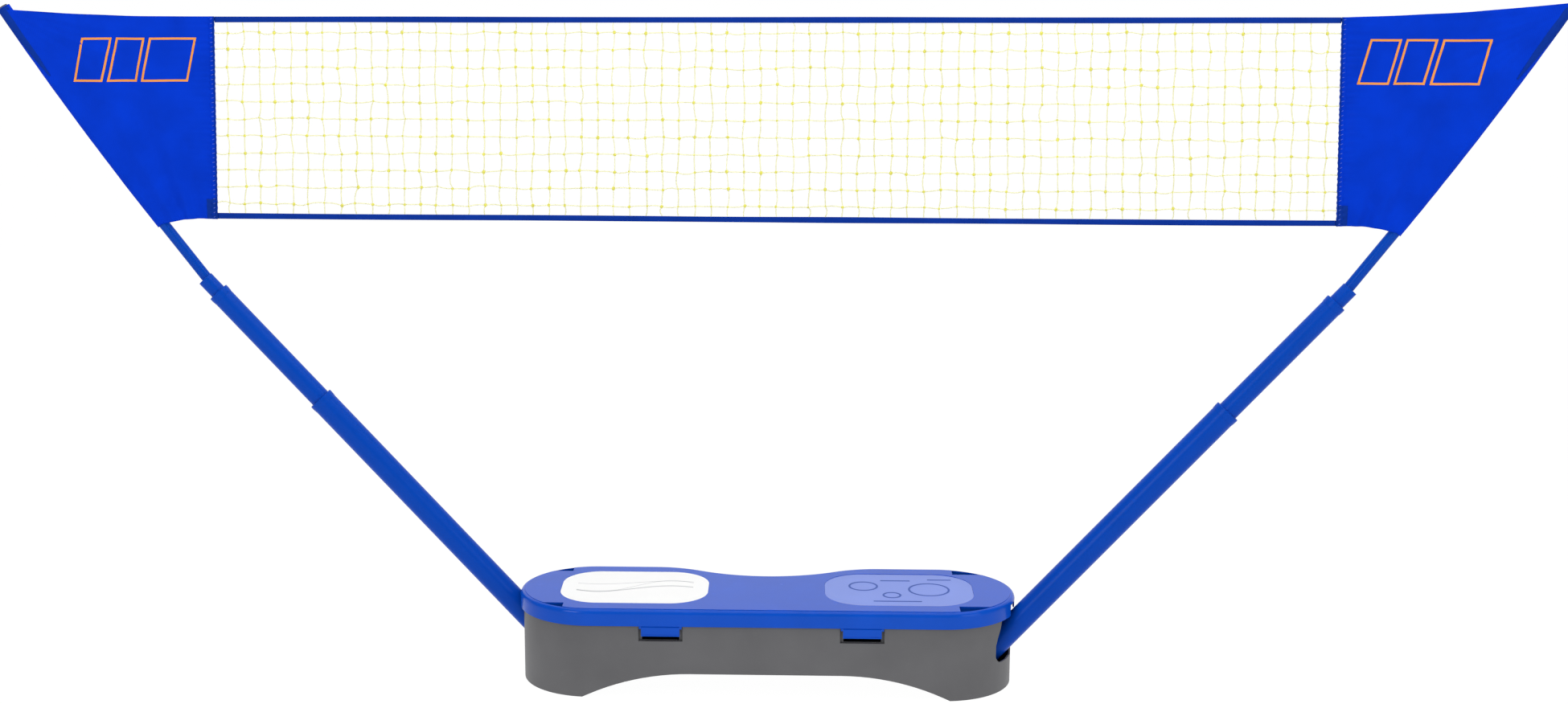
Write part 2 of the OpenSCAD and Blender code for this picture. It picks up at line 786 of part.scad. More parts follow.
mesh_bottom = net_bottom_z + tape_w / 2 + seat;
mesh_top = net_top_z - tape_w / 2 - seat;

// Upright strings that follow the taper, crossed by level ones. The level ones end
// on the middle lines of the two end strings, which reach past them at both ends.
module net_mesh() color(net_yellow) in_case() in_net_plane(string_w) {
    for (i = [0 : net_columns]) {
        share = 2 * i / net_columns - 1;
        foot = share * (net_half(mesh_bottom) - string_w / 2);
        head = share * (net_half(mesh_top) - string_w / 2);
        polygon([
            [foot - string_w / 2, mesh_bottom], [foot + string_w / 2, mesh_bottom],
            [head + string_w / 2, mesh_top], [head - string_w / 2, mesh_top]
        ]);
    }
    for (j = [0 : net_rows]) {
        z = mix(mesh_bottom + string_w, mesh_top - 2 * string_w, j / net_rows);
        half = net_half(z) - string_w / 2;
        translate([-half, z]) square([2 * half, string_w]);
    }
}

// A tape along the mesh's edge, cut at both ends along the hems.
module tape(z) {
    half = [net_half(z - tape_w / 2), net_half(z + tape_w / 2)];
    in_net_plane(tape_t)
        polygon([
            [-half[0], z - tape_w / 2], [half[0], z - tape_w / 2],
            [half[1], z + tape_w / 2], [-half[1], z + tape_w / 2]
        ]);
}

module top_tape() color(tape_blue) in_case() tape(net_top_z);

module bottom_tape() color(tape_blue) in_case() tape(net_bottom_z);

// ---- Nodes ------------------------------------------------------------------

base_tub();
carry_handle();
handle_screws();
hinge_pins();
left_side() lower_tube();  // left_lower_tube
right_side() lower_tube();  // right_lower_tube
left_side() lower_collar();  // left_lower_collar
right_side() lower_collar();  // right_lower_collar
left_side() root_plug();  // left_root_plug
right_side() root_plug();  // right_root_plug
left_side() root_pin();  // left_root_pin
right_side() root_pin();  // right_root_pin
net_mesh();
top_tape();
bottom_tape();
lid_shell();
label_plate();
info_panel();
latch_pins();
left_latch();
right_latch();
left_side() middle_tube();  // left_middle_tube
left_side() middle_collar();  // left_middle_collar
left_side() middle_bush();  // left_middle_bush
left_side() reducer();  // left_reducer
right_side() middle_tube();  // right_middle_tube
right_side() middle_collar();  // right_middle_collar
right_side() middle_bush();  // right_middle_bush
right_side() reducer();  // right_reducer
left_side() top_tube();  // left_top_tube
left_side() tip_cap();  // left_tip_cap
left_side() sleeve();  // left_sleeve
left_side() side_panel();  // left_side_panel
left_side() hem();  // left_hem
right_side() top_tube();  // right_top_tube
right_side() tip_cap();  // right_tip_cap
right_side() sleeve();  // right_sleeve
right_side() side_panel();  // right_side_panel
right_side() hem();  // right_hem
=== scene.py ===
"""A play net on two telescopic poles that lean out of a storage case."""

import json
import logging
import math
import random
from dataclasses import dataclass, field
from enum import Enum
from typing import Callable, Iterable, Optional, Sequence, Union

import bmesh
import bpy
from mathutils import Matrix, Vector, noise


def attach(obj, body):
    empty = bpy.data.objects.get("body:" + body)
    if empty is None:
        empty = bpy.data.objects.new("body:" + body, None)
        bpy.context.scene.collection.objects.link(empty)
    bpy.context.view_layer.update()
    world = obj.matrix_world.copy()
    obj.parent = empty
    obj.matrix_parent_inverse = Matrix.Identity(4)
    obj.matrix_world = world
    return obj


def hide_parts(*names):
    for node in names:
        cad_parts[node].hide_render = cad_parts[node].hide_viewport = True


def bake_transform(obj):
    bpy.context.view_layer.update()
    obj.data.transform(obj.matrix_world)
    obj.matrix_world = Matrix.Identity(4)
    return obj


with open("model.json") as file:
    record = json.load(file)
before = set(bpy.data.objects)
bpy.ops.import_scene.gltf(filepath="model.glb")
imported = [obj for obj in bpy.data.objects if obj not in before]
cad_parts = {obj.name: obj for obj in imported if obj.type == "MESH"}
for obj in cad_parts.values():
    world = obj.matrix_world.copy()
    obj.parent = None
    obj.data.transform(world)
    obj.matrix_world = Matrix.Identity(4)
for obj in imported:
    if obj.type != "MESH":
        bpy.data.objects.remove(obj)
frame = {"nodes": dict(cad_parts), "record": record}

log = logging.getLogger("play_net")

MM = 0.001
CASE_Y = -4 * MM  # the case's centre line, in front of the origin
PLASTIC_IOR = 1.49
MERGE = 1e-6  # metres: closer vertices of a rigid piece are one
CLOTH_MERGE = 1e-5  # metres: closer vertices of a cloth's seam are one
FLAT_ANGLE = 0.5  # degrees: faces that turn less from each other are joined
EDGE_ANGLE = 40.0  # degrees: edges that turn more are rounded
MIX_FIRST, MIX_SECOND, MIX_RESULT = 6, 7, 2  # a Mix node's sockets for colours
ROD_SIDES = 40
CORNER_STEPS = 16

Colour = tuple[float, float, float]
Number = Union[float, "Value"]


class Side(Enum):
    """The two ends of the net."""

    LEFT = -1
    RIGHT = 1

    @property
    def word(self) -> str:
        """The word that the names of this side's pieces start with."""
        return self.name.lower()


# ---- Shaders -------------------------------------------------------------------------


class Value:
    """A number in a material, so that sums can be written as Python expressions."""

    def __init__(self, graph: "Graph", socket: bpy.types.NodeSocket) -> None:
        """Wraps an output socket.

        Args:
            graph: the material that the socket belongs to.
            socket: the output socket.
        """
        self.graph = graph
        self.socket = socket

    def _sum(self, operation: str, first: Number, second: Number) -> "Value":
        """Adds a Math node.

        Args:
            operation: the node's operation.
            first: its first number or link.
            second: its second number or link.

        Returns:
            The node's result.
        """
        return self.graph.add(
            "ShaderNodeMath", {"operation": operation}, {0: first, 1: second}
        )

    def __add__(self, other: Number) -> "Value":
        """This plus other."""
        return self._sum("ADD", self, other)

    __radd__ = __add__

    def __sub__(self, other: Number) -> "Value":
        """This minus other."""
        return self._sum("SUBTRACT", self, other)

    def __rsub__(self, other: Number) -> "Value":
        """Other minus this."""
        return self._sum("SUBTRACT", other, self)

    def __mul__(self, other: Number) -> "Value":
        """This times other."""
        return self._sum("MULTIPLY", self, other)

    __rmul__ = __mul__

    def __lt__(self, other: Number) -> "Value":
        """One where this is less than other."""
        return self._sum("LESS_THAN", self, other)

    def __gt__(self, other: Number) -> "Value":
        """One where this is more than other."""
        return self._sum("GREATER_THAN", self, other)

    def apply(self, operation: str, other: float = 0.0) -> "Value":
        """Any other Math operation.

        Args:
            operation: the node's operation, such as SINE or ABSOLUTE.
            other: its second number.

        Returns:
            The node's result.
        """
        return self._sum(operation, self, other)


class Graph:
    """One material's nodes."""

    def __init__(self, name: str) -> None:
        """Starts a material with a Principled shader.

        Args:
            name: the material's name.
        """
        self.material = bpy.data.materials.new(name)
        self.material.use_nodes = True
        self.nodes = self.material.node_tree.nodes
        self.links = self.material.node_tree.links
        self.shader = self.nodes["Principled BSDF"]

    def add(
        self, kind: str, settings: dict, sockets: dict, output: Union[int, str] = 0
    ) -> Value:
        """Adds a node.

        Args:
            kind: the node's type.
            settings: the node's own settings, which are set first.
            sockets: a value or a link for each named or numbered input.
            output: the output that is wanted.

        Returns:
            That output.
        """
        node = self.nodes.new(kind)
        for name, value in settings.items():
            if name == "stops":
                self._set_stops(node.color_ramp, value)
            else:
                setattr(node, name, value)
        for name, value in sockets.items():
            self.feed(node.inputs[name], value)
        return Value(self, node.outputs[output])

    @staticmethod
    def _set_stops(ramp: bpy.types.ColorRamp, stops: Sequence) -> None:
        """Sets a colour ramp's stops.

        Args:
            ramp: the ramp.
            stops: pairs of place and colour, from left to right.
        """
        while len(ramp.elements) < len(stops):
            ramp.elements.new(1.0)
        for element, (place, colour) in zip(ramp.elements, stops):
            element.position = place
            element.color = (*colour, 1.0)

    def feed(self, socket: bpy.types.NodeSocket, value: object) -> None:
        """Links or sets one input.

        Args:
            socket: the input.
            value: a Value, a number, a colour or a vector.
        """
        if isinstance(value, Value):
            self.links.new(value.socket, socket)
        elif isinstance(value, tuple) and len(value) == 3 and socket.type == "RGBA":
            socket.default_value = (*value, 1.0)
        else:
            socket.default_value = value

    def place(self) -> Value:
        """The Object coordinates."""
        return self.add("ShaderNodeTexCoord", {}, {}, "Object")

    def axis(self, vector: Value, letter: str) -> Value:
        """One coordinate of a vector."""
        return self.add("ShaderNodeSeparateXYZ", {}, {0: vector}, letter)

    def uv(self) -> Value:
        """The piece's own UV map."""
        return self.add("ShaderNodeUVMap", {}, {}, "UV")

    def noise(
        self, scale: float, detail: float = 2.0, vector: Optional[Value] = None
    ) -> Value:
        """Soft noise from 0 to 1.

        Args:
            scale: how many spots there are to a metre.
            detail: how many finer layers it has.
            vector: where it is read, if not at the Object coordinates.

        Returns:
            The noise.
        """
        sockets = {
            "Vector": vector or self.place(),
            "Scale": scale,
            "Detail": detail,
        }
        return self.add("ShaderNodeTexNoise", {}, sockets, "Fac")

    def ramp(self, amount: Value, low: float, high: float) -> Value:
        """An amount stretched so that low becomes 0 and high becomes 1.

        Args:
            amount: the amount.
            low: what becomes 0.
            high: what becomes 1.

        Returns:
            The stretched amount, kept from 0 to 1.
        """
        return self.add(
            "ShaderNodeMapRange", {"clamp": True}, {0: amount, 1: low, 2: high}
        )

    def mix(self, amount: Number, first: object, second: object) -> Value:
        """A blend of two colours.

        Args:
            amount: the share of the second, from 0 to 1.
            first: a colour or a link.
            second: a colour or a link.

        Returns:
            The blended colour.
        """
        node = self.nodes.new("ShaderNodeMix")
        node.data_type = "RGBA"
        self.feed(node.inputs[0], amount)
        self.feed(node.inputs[MIX_FIRST], first)
        self.feed(node.inputs[MIX_SECOND], second)
        return Value(self, node.outputs[MIX_RESULT])

    def bump(self, height: Value, strength: float, distance: float) -> None:
        """Feeds the shader's Normal.

        Args:
            height: the bump's height, from 0 to 1.
            strength: how much of it shows.
            distance: the real height of 1, in metres.
        """
        normal = self.add(
            "ShaderNodeBump",
            {},
            {"Strength": strength, "Distance": distance, "Height": height},
            "Normal",
        )
        self.feed(self.shader.inputs["Normal"], normal)

    def set(self, **values: object) -> None:
        """Sets the shader's inputs by name, with _ for a space."""
        for name, value in values.items():
            self.feed(self.shader.inputs[name.replace("_", " ")], value)


def shade(colour: Colour, share: float) -> Colour:
    """A colour made darker or lighter by a share."""
    return tuple(min(1.0, part * share) for part in colour)


@dataclass(frozen=True)
class MouldedPlastic:
    """Injection-moulded plastic with a fine grain, slight mottling and scuffs."""

    name: str
    colour: Colour
    roughness: float = 0.46
    grain: float = 1400.0
    grain_depth: float = 0.00005
    mottle: float = 0.05
    shine: float = 0.5
    cloud_scale: float = 9.0
    scuff_scale: float = 55.0
    scuff_share: float = 0.16
    scuff_light: float = 1.35
    cloud_range: tuple[float, float] = (0.3, 0.7)
    scuff_range: tuple[float, float] = (0.60, 0.74)
    grain_rough: float = 0.10
    scuff_rough: float = 0.07
    grain_strength: float = 0.35

    def build(self) -> bpy.types.Material:
        """Makes the material.

        Returns:
            The material.
        """
        graph = Graph(self.name)
        clouds = graph.noise(self.cloud_scale, detail=3.0)
        clouds = graph.ramp(clouds, *self.cloud_range)
        scuffs = graph.noise(self.scuff_scale, detail=6.0)
        scuffs = graph.ramp(scuffs, *self.scuff_range)
        grain = graph.noise(self.grain)
        tint = graph.mix(
            clouds,
            shade(self.colour, 1 - self.mottle),
            shade(self.colour, 1 + self.mottle),
        )
        scuffed = shade(self.colour, self.scuff_light)
        tint = graph.mix(scuffs * self.scuff_share, tint, scuffed)
        rough = grain * self.grain_rough + scuffs * self.scuff_rough
        graph.set(
            Base_Color=tint,
            Roughness=rough + (self.roughness - self.grain_rough / 2),
            IOR=PLASTIC_IOR,
            Specular_IOR_Level=self.shine,
        )
        graph.bump(grain, self.grain_strength, self.grain_depth)
        return graph.material


@dataclass(frozen=True)
class DrawnTube:
    """Tube drawn through a die: fine streaks along it, under satin or gloss."""

    name: str
    colour: Colour
    roughness: float = 0.34
    coat: float = 0.0
    lean: float = 47.6
    shine: float = 0.25
    streaks: tuple[float, float, float] = (3.0, 420.0, 420.0)
    streak_depth: float = 0.00003
    cloud_scale: float = 14.0
    mark_scale: float = 85.0
    mark_share: float = 0.18
    mark_light: float = 1.5
    mark_range: tuple[float, float] = (0.64, 0.75)
    mottle: tuple[float, float] = (0.93, 1.07)
    streak_rough: float = 0.10
    mark_rough: float = 0.10
    coat_rough: float = 0.08
    streak_strength: float = 0.25

    def build(self) -> bpy.types.Material:
        """Makes the material.

        Returns:
            The material.
        """
        graph = Graph(self.name)
        turned = graph.add(
            "ShaderNodeMapping",
            {},
            {
                "Vector": graph.place(),
                "Rotation": (0.0, math.radians(self.lean), 0.0),
                "Scale": self.streaks,
            },
        )
        streaks = graph.noise(1.0, detail=3.0, vector=turned)
        clouds = graph.noise(self.cloud_scale, detail=3.0)
        marks = graph.noise(self.mark_scale, detail=5.0)
        marks = graph.ramp(marks, *self.mark_range)
        tint = graph.mix(clouds, *(shade(self.colour, m) for m in self.mottle))
        marked = shade(self.colour, self.mark_light)
        tint = graph.mix(marks * self.mark_share, tint, marked)
        rough = streaks * self.streak_rough + marks * self.mark_rough
        graph.set(
            Base_Color=tint,
            Roughness=rough + (self.roughness - self.streak_rough / 2),
            IOR=PLASTIC_IOR,
            Specular_IOR_Level=self.shine,
            Coat_Weight=self.coat,
            Coat_Roughness=self.coat_rough,
        )
        graph.bump(streaks, self.streak_strength, self.streak_depth)
        return graph.material


@dataclass(frozen=True)
class ZincSteel:
    """Bright zinc-plated steel."""

    name: str
    colour: Colour = (0.56, 0.57, 0.58)
    roughness: float = 0.22
    spangle_scale: float = 260.0
    spangle_depth: float = 0.00003
    spangle_rough: float = 0.18
    spangle_strength: float = 0.15
    mottle: tuple[float, float] = (0.85, 1.1)

    def build(self) -> bpy.types.Material:
        """Makes the material.

        Returns:
            The material.
        """
        graph = Graph(self.name)
        spangle = graph.noise(self.spangle_scale, detail=4.0)
        tint = graph.mix(spangle, *(shade(self.colour, m) for m in self.mottle))
        rough = spangle * self.spangle_rough + self.roughness
        graph.set(Base_Color=tint, Metallic=1.0, Roughness=rough)
        graph.bump(spangle, self.spangle_strength, self.spangle_depth)
        return graph.material


@dataclass(frozen=True)
class WovenCloth:
    """Plain-woven cloth that follows the piece's own UV map, laid out in metres."""

    name: str
    colour: Colour
    threads: float = 1500.0
    roughness: float = 0.62
    sheen: float = 0.0
    shine: float = 0.03
    depth: float = 0.00012
    uneven: float = 0.10
    cloud_scale: float = 16.0
    slub_scale: float = 700.0
    weave_share: float = 0.22
    weave_dark: float = 0.55
    cloud_range: tuple[float, float] = (0.3, 0.7)
    slub_rough: float = 0.16
    slub_height: float = 0.4
    sheen_rough: float = 0.4
    strength: float = 0.4

    def build(self) -> bpy.types.Material:
        """Makes the material.

        Returns:
            The material.
        """
        graph = Graph(self.name)
        uv = graph.uv()
        across = (graph.axis(uv, "X") * self.threads).apply("SINE")
        along = (graph.axis(uv, "Y") * self.threads).apply("SINE")
        weave = across * along * 0.5 + 0.5
        clouds = graph.noise(self.cloud_scale, detail=4.0)
        clouds = graph.ramp(clouds, *self.cloud_range)
        slubs = graph.noise(self.slub_scale)
        tint = graph.mix(
            clouds,
            shade(self.colour, 1 - self.uneven),
            shade(self.colour, 1 + self.uneven),
        )
        hollow = shade(self.colour, self.weave_dark)
        tint = graph.mix(weave * self.weave_share, tint, hollow)
        graph.set(
            Base_Color=tint,
            Roughness=slubs * self.slub_rough + (self.roughness - self.slub_rough / 2),
            Sheen_Weight=self.sheen,
            Sheen_Roughness=self.sheen_rough,
            Specular_IOR_Level=self.shine,
        )
        graph.bump(weave + slubs * self.slub_height, self.strength, self.depth)
        return graph.material


@dataclass(frozen=True)
class PrintedVinyl:
    """A white label with faint grey sweeps: plain curves and nothing to read."""

    name: str
    colour: Colour = (0.92, 0.92, 0.915)
    ink: Colour = (0.16, 0.17, 0.20)
    ink_share: float = 0.55
    roughness: float = 0.32
    mottle_scale: float = 30.0
    mottle_dark: float = 0.96
    mottle_rough: float = 0.08
    centre_x: float = -267 * MM
    half_length: float = 0.118
    waves: float = 21.0
    sweeps: tuple[tuple[float, float, float], ...] = (
        (0.020, -0.010, 0.0026),
        (0.040, 0.006, 0.0012),
        (0.012, 0.030, 0.0012),
    )

    def _sweep(
        self, x: Value, y: Value, wave: float, lift: float, width: float
    ) -> Value:
        """One curved line across the label.

        Args:
            x: the place along the label.
            y: the place across it.
            wave: the height of the curve.
            lift: how far the curve lies from the middle.
            width: half the line's width.

        Returns:
            One on the line and nothing beside it.
        """
        curve = (x * self.waves).apply("SINE") * wave + lift
        return (y - curve).apply("ABSOLUTE") < width

    def build(self) -> bpy.types.Material:
        """Makes the material.

        Returns:
            The material.
        """
        graph = Graph(self.name)
        place = graph.place()
        x = graph.axis(place, "X") - self.centre_x
        y = graph.axis(place, "Y") - CASE_Y
        lines = self._sweep(x, y, *self.sweeps[0])
        for sweep in self.sweeps[1:]:
            lines = lines + self._sweep(x, y, *sweep)
        inside = x.apply("ABSOLUTE") < self.half_length
        mottle = graph.noise(self.mottle_scale, detail=3.0)
        tint = graph.mix(mottle, shade(self.colour, self.mottle_dark), self.colour)
        tint = graph.mix(lines * inside * self.ink_share, tint, self.ink)
        rough = mottle * self.mottle_rough + self.roughness
        graph.set(Base_Color=tint, Roughness=rough)
        return graph.material


@dataclass(frozen=True)
class TwistedCord:
    """Yarn twisted into a cord."""

    name: str
    colour: Colour
    twist: float = 2600.0
    cloud_scale: float = 40.0
    strand_share: float = 0.18
    strand_dark: float = 0.7
    strand_depth: float = 0.0001
    strand_strength: float = 0.4
    mottle: tuple[float, float] = (0.86, 1.08)
    mottle_rough: float = 0.1
    roughness: float = 0.6
    sheen: float = 0.2

    def build(self) -> bpy.types.Material:
        """Makes the material.

        Returns:
            The material.
        """
        graph = Graph(self.name)
        place = graph.place()
        slant = graph.axis(place, "X") + graph.axis(place, "Z")
        strands = (slant * self.twist).apply("SINE") * 0.5 + 0.5
        clouds = graph.noise(self.cloud_scale, detail=3.0)
        tint = graph.mix(clouds, *(shade(self.colour, m) for m in self.mottle))
        hollow = shade(self.colour, self.strand_dark)
        tint = graph.mix(strands * self.strand_share, tint, hollow)
        rough = clouds * self.mottle_rough + self.roughness
        graph.set(Base_Color=tint, Roughness=rough, Sheen_Weight=self.sheen)
        graph.bump(strands, self.strand_strength, self.strand_depth)
        return graph.material


FINISHES = {
    "case_plastic": MouldedPlastic(
        "case_plastic", (0.116, 0.116, 0.122), 0.48, mottle=0.08, shine=0.38
    ),
    "lid_plastic": MouldedPlastic(
        "lid_plastic", (0.002, 0.074, 0.530), 0.20, shine=0.15
    ),
    "pole_plastic": DrawnTube("pole_plastic", (0.001, 0.057, 0.430), 0.30, shine=0.08),
    "painted_steel": DrawnTube(
        "painted_steel", (0.001, 0.054, 0.410), 0.24, 0.05, 53.1, shine=0.06
    ),
    "inner_plastic": MouldedPlastic("inner_plastic", (0.090, 0.092, 0.096), 0.5),
    "pin_steel": ZincSteel("pin_steel"),
    "label_vinyl": PrintedVinyl("label_vinyl"),
    "pale_panel": MouldedPlastic(
        "pale_panel", (0.175, 0.255, 0.700), 0.34, mottle=0.03, shine=0.2
    ),
    "panel_fabric": WovenCloth("panel_fabric", (0.0005, 0.038, 0.570)),
    "net_tape": WovenCloth("net_tape", (0.004, 0.034, 0.300), 2600.0, 0.7),
    "net_cord": TwistedCord("net_cord", (0.930, 0.915, 0.560)),
    "knot_cord": TwistedCord("knot_cord", (0.810, 0.770, 0.110)),
    "seam_thread": MouldedPlastic("seam_thread", (0.090, 0.150, 0.600), 0.6, shine=0.1),
    "trim_thread": MouldedPlastic("trim_thread", (0.820, 0.300, 0.060), 0.6, shine=0.2),
    "raised_mark": MouldedPlastic(
        "raised_mark", (0.030, 0.085, 0.400), 0.45, shine=0.15
    ),
    # Dark blue plates on the pockets' floors: painted shade, as the deep pockets lie in
    # shadow.
    "pocket_floor": MouldedPlastic(
        "pocket_floor", (0.001, 0.024, 0.170), 0.9, shine=0.0
    ),
}


def add_object(name: str, data: bpy.types.ID) -> bpy.types.Object:
    """Puts a new object in the scene, at the origin.

    Args:
        name: the object's name.
        data: its mesh, curve, light or camera.

    Returns:
        The object.
    """
    added = bpy.data.objects.new(name, data)
    bpy.context.scene.collection.objects.link(added)
    return added


def only(kind: type, geom: Iterable) -> list:
    """The parts of a mesh operator's result that are of one kind."""
    return [part for part in geom if isinstance(part, kind)]


class Workshop:
    """Makes objects from meshes, dresses them and puts them on their bodies."""

    def __init__(self) -> None:
        """Builds every finish."""
        self.materials = {name: finish.build() for name, finish in FINISHES.items()}

    def new_object(self, name: str, bm: bmesh.types.BMesh) -> bpy.types.Object:
        """Turns a bmesh into an object in the scene, and frees it.

        Args:
            name: the object's name.
            bm: the bmesh.

        Returns:
            The object, at the origin.
        """
        mesh = bpy.data.meshes.new(name)
        bm.to_mesh(mesh)
        bm.free()
        return add_object(name, mesh)

    def dress(self, piece: bpy.types.Object, finish: str) -> None:
        """Gives a piece one finish.

        Args:
            piece: the piece.
            finish: the finish's name.
        """
        piece.data.materials.clear()
        piece.data.materials.append(self.materials[finish])
        finish in {m["slot"] for m in frame["record"]["materials"]}

    def settle(
        self,
        piece: bpy.types.Object,
        finish: str,
        body: str,
        stands_for: Iterable[str] = (),
    ) -> bpy.types.Object:
        """Dresses a rigid piece and puts it on its body.

        Args:
            piece: the piece.
            finish: its finish.
            body: the body that it rides on.
            stands_for: the nodes that it replaces.

        Returns:
            The piece.
        """
        self.dress(piece, finish)
        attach(piece, body)
        nodes = list(stands_for)
        if nodes:
            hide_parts(*nodes)
        log.info("%s: %d faces on %s", piece.name, len(piece.data.polygons), body)
        return piece

    @staticmethod
    def smooth(piece: bpy.types.Object, angle: float = 32.0) -> None:
        """Shades a piece smooth, with its edges sharp beyond an angle in degrees.

        Args:
            piece: the piece.
            angle: the turn, in degrees, past which an edge stays sharp.
        """
        bm = bmesh.new()
        bm.from_mesh(piece.data)
        for face in bm.faces:
            face.smooth = True
        limit = math.radians(angle)
        for edge in bm.edges:
            edge.smooth = len(edge.link_faces) == 2 and edge.calc_face_angle(0) < limit
        bm.to_mesh(piece.data)
        bm.free()
        even = piece.modifiers.new("even", "WEIGHTED_NORMAL")
        even.keep_sharp = True
        Workshop.bake(piece)

    @staticmethod
    def bake(piece: bpy.types.Object) -> None:
        """Applies a piece's modifiers.

        Args:
            piece: the piece.
        """
        bpy.context.view_layer.update()
        graph = bpy.context.evaluated_depsgraph_get()
        mesh = bpy.data.meshes.new_from_object(piece.evaluated_get(graph))
        piece.modifiers.clear()
        piece.data = mesh

    def cut(
        self, piece: bpy.types.Object, tool: bpy.types.Object, operation: str
    ) -> None:
        """Joins a tool to a piece or cuts it out, and deletes the tool.

        Args:
            piece: the piece that changes.
            tool: the other shape.
            operation: UNION or DIFFERENCE.
        """
        modifier = piece.modifiers.new("cut", "BOOLEAN")
        modifier.object = tool
        modifier.operation = operation
        modifier.solver = "EXACT"
        modifier.use_self = True
        self.bake(piece)
        bpy.data.objects.remove(tool)

    def round_edges(
        self, piece: bpy.types.Object, width: float, segments: int = 2
    ) -> None:
        """Rounds a piece's sharp edges.

        Args:
            piece: the piece.
            width: how far the rounding reaches, in metres.
            segments: how many faces it has.
        """
        modifier = piece.modifiers.new("rounding", "BEVEL")
        modifier.width = width
        modifier.segments = segments
        modifier.limit_method = "ANGLE"
        modifier.angle_limit = math.radians(EDGE_ANGLE)
        modifier.use_clamp_overlap = True
        self.bake(piece)

    @staticmethod
    def thicken(piece: bpy.types.Object, thickness: float) -> None:
        """Gives a sheet its wall, half of it on each side.

        Args:
            piece: the sheet.
            thickness: the wall's thickness, in metres.
        """
        wall = piece.modifiers.new("wall", "SOLIDIFY")
        wall.thickness = thickness
        wall.offset = 0.0
        Workshop.bake(piece)

    def from_node(
        self, node: str, name: str, width: float = 0.0
    ) -> bpy.types.Object:
        """A merged copy of a solid, with its edges rounded.

        Args:
            node: the solid.
            name: the copy's name.
            width: how far the rounding reaches, in metres.

        Returns:
            The copy.
        """
        bm = bmesh.new()
        bm.from_mesh(frame["nodes"][node].data)
        bmesh.ops.remove_doubles(bm, verts=bm.verts, dist=MERGE)
        bmesh.ops.dissolve_limit(
            bm,
            angle_limit=math.radians(FLAT_ANGLE),
            verts=bm.verts,
            edges=bm.edges,
        )
        piece = self.new_object(name, bm)
        if width:
            self.round_edges(piece, width)
        self.smooth(piece)
        return piece


# ---- Case ----------------------------------------------------------------------------


def add_box(bm: bmesh.types.BMesh, low: Sequence[float], high: Sequence[float]) -> list:
    """Adds a box between two corners.

    Args:
        bm: the bmesh.
        low: its lowest corner.
        high: its highest corner.

    Returns:
        Its corners.
    """
    size = Vector(high) - Vector(low)
    place = Matrix.Translation((Vector(high) + Vector(low)) / 2)
    return bmesh.ops.create_cube(
        bm, size=1.0, matrix=place @ Matrix.Diagonal((*size, 1.0))
    )["verts"]


def add_rod(
    bm: bmesh.types.BMesh, radius: float, length: float, middle: Sequence[float]
) -> None:
    """Adds a cylinder that lies along X.

    Args:
        bm: the bmesh.
        radius: its radius.
        length: its length.
        middle: its middle.
    """
    bmesh.ops.create_cone(
        bm,
        cap_ends=True,
        segments=ROD_SIDES,
        radius1=radius,
        radius2=radius,
        depth=length,
        matrix=Matrix.Translation(middle) @ Matrix.Rotation(math.pi / 2, 4, "Y"),
    )


def rounded_slab(
    length: float, width: float, radius: float, low: float, high: float, x: float
) -> bmesh.types.BMesh:
    """A flat slab with round corners, on the case's centre line.

    Args:
        length: its length.
        width: its width.
        radius: the radius of its corners.
        low: the height of its underside.
        high: the height of its top.
        x: its place along the case.

    Returns:
        The slab.
    """
    bm = bmesh.new()
    corner = Vector((length / 2, width / 2, 0))
    middle = Vector((x, CASE_Y, 0))
    add_box(bm, (*(middle - corner).xy, low), (*(middle + corner).xy, high))
    upright = [e for e in bm.edges if abs(e.verts[0].co.z - e.verts[1].co.z) > MM / 10]
    bmesh.ops.bevel(
        bm,
        geom=upright,
        offset=radius,
        segments=CORNER_STEPS,
        profile=0.5,
        affect="EDGES",
        material=-1,
    )
    return bm


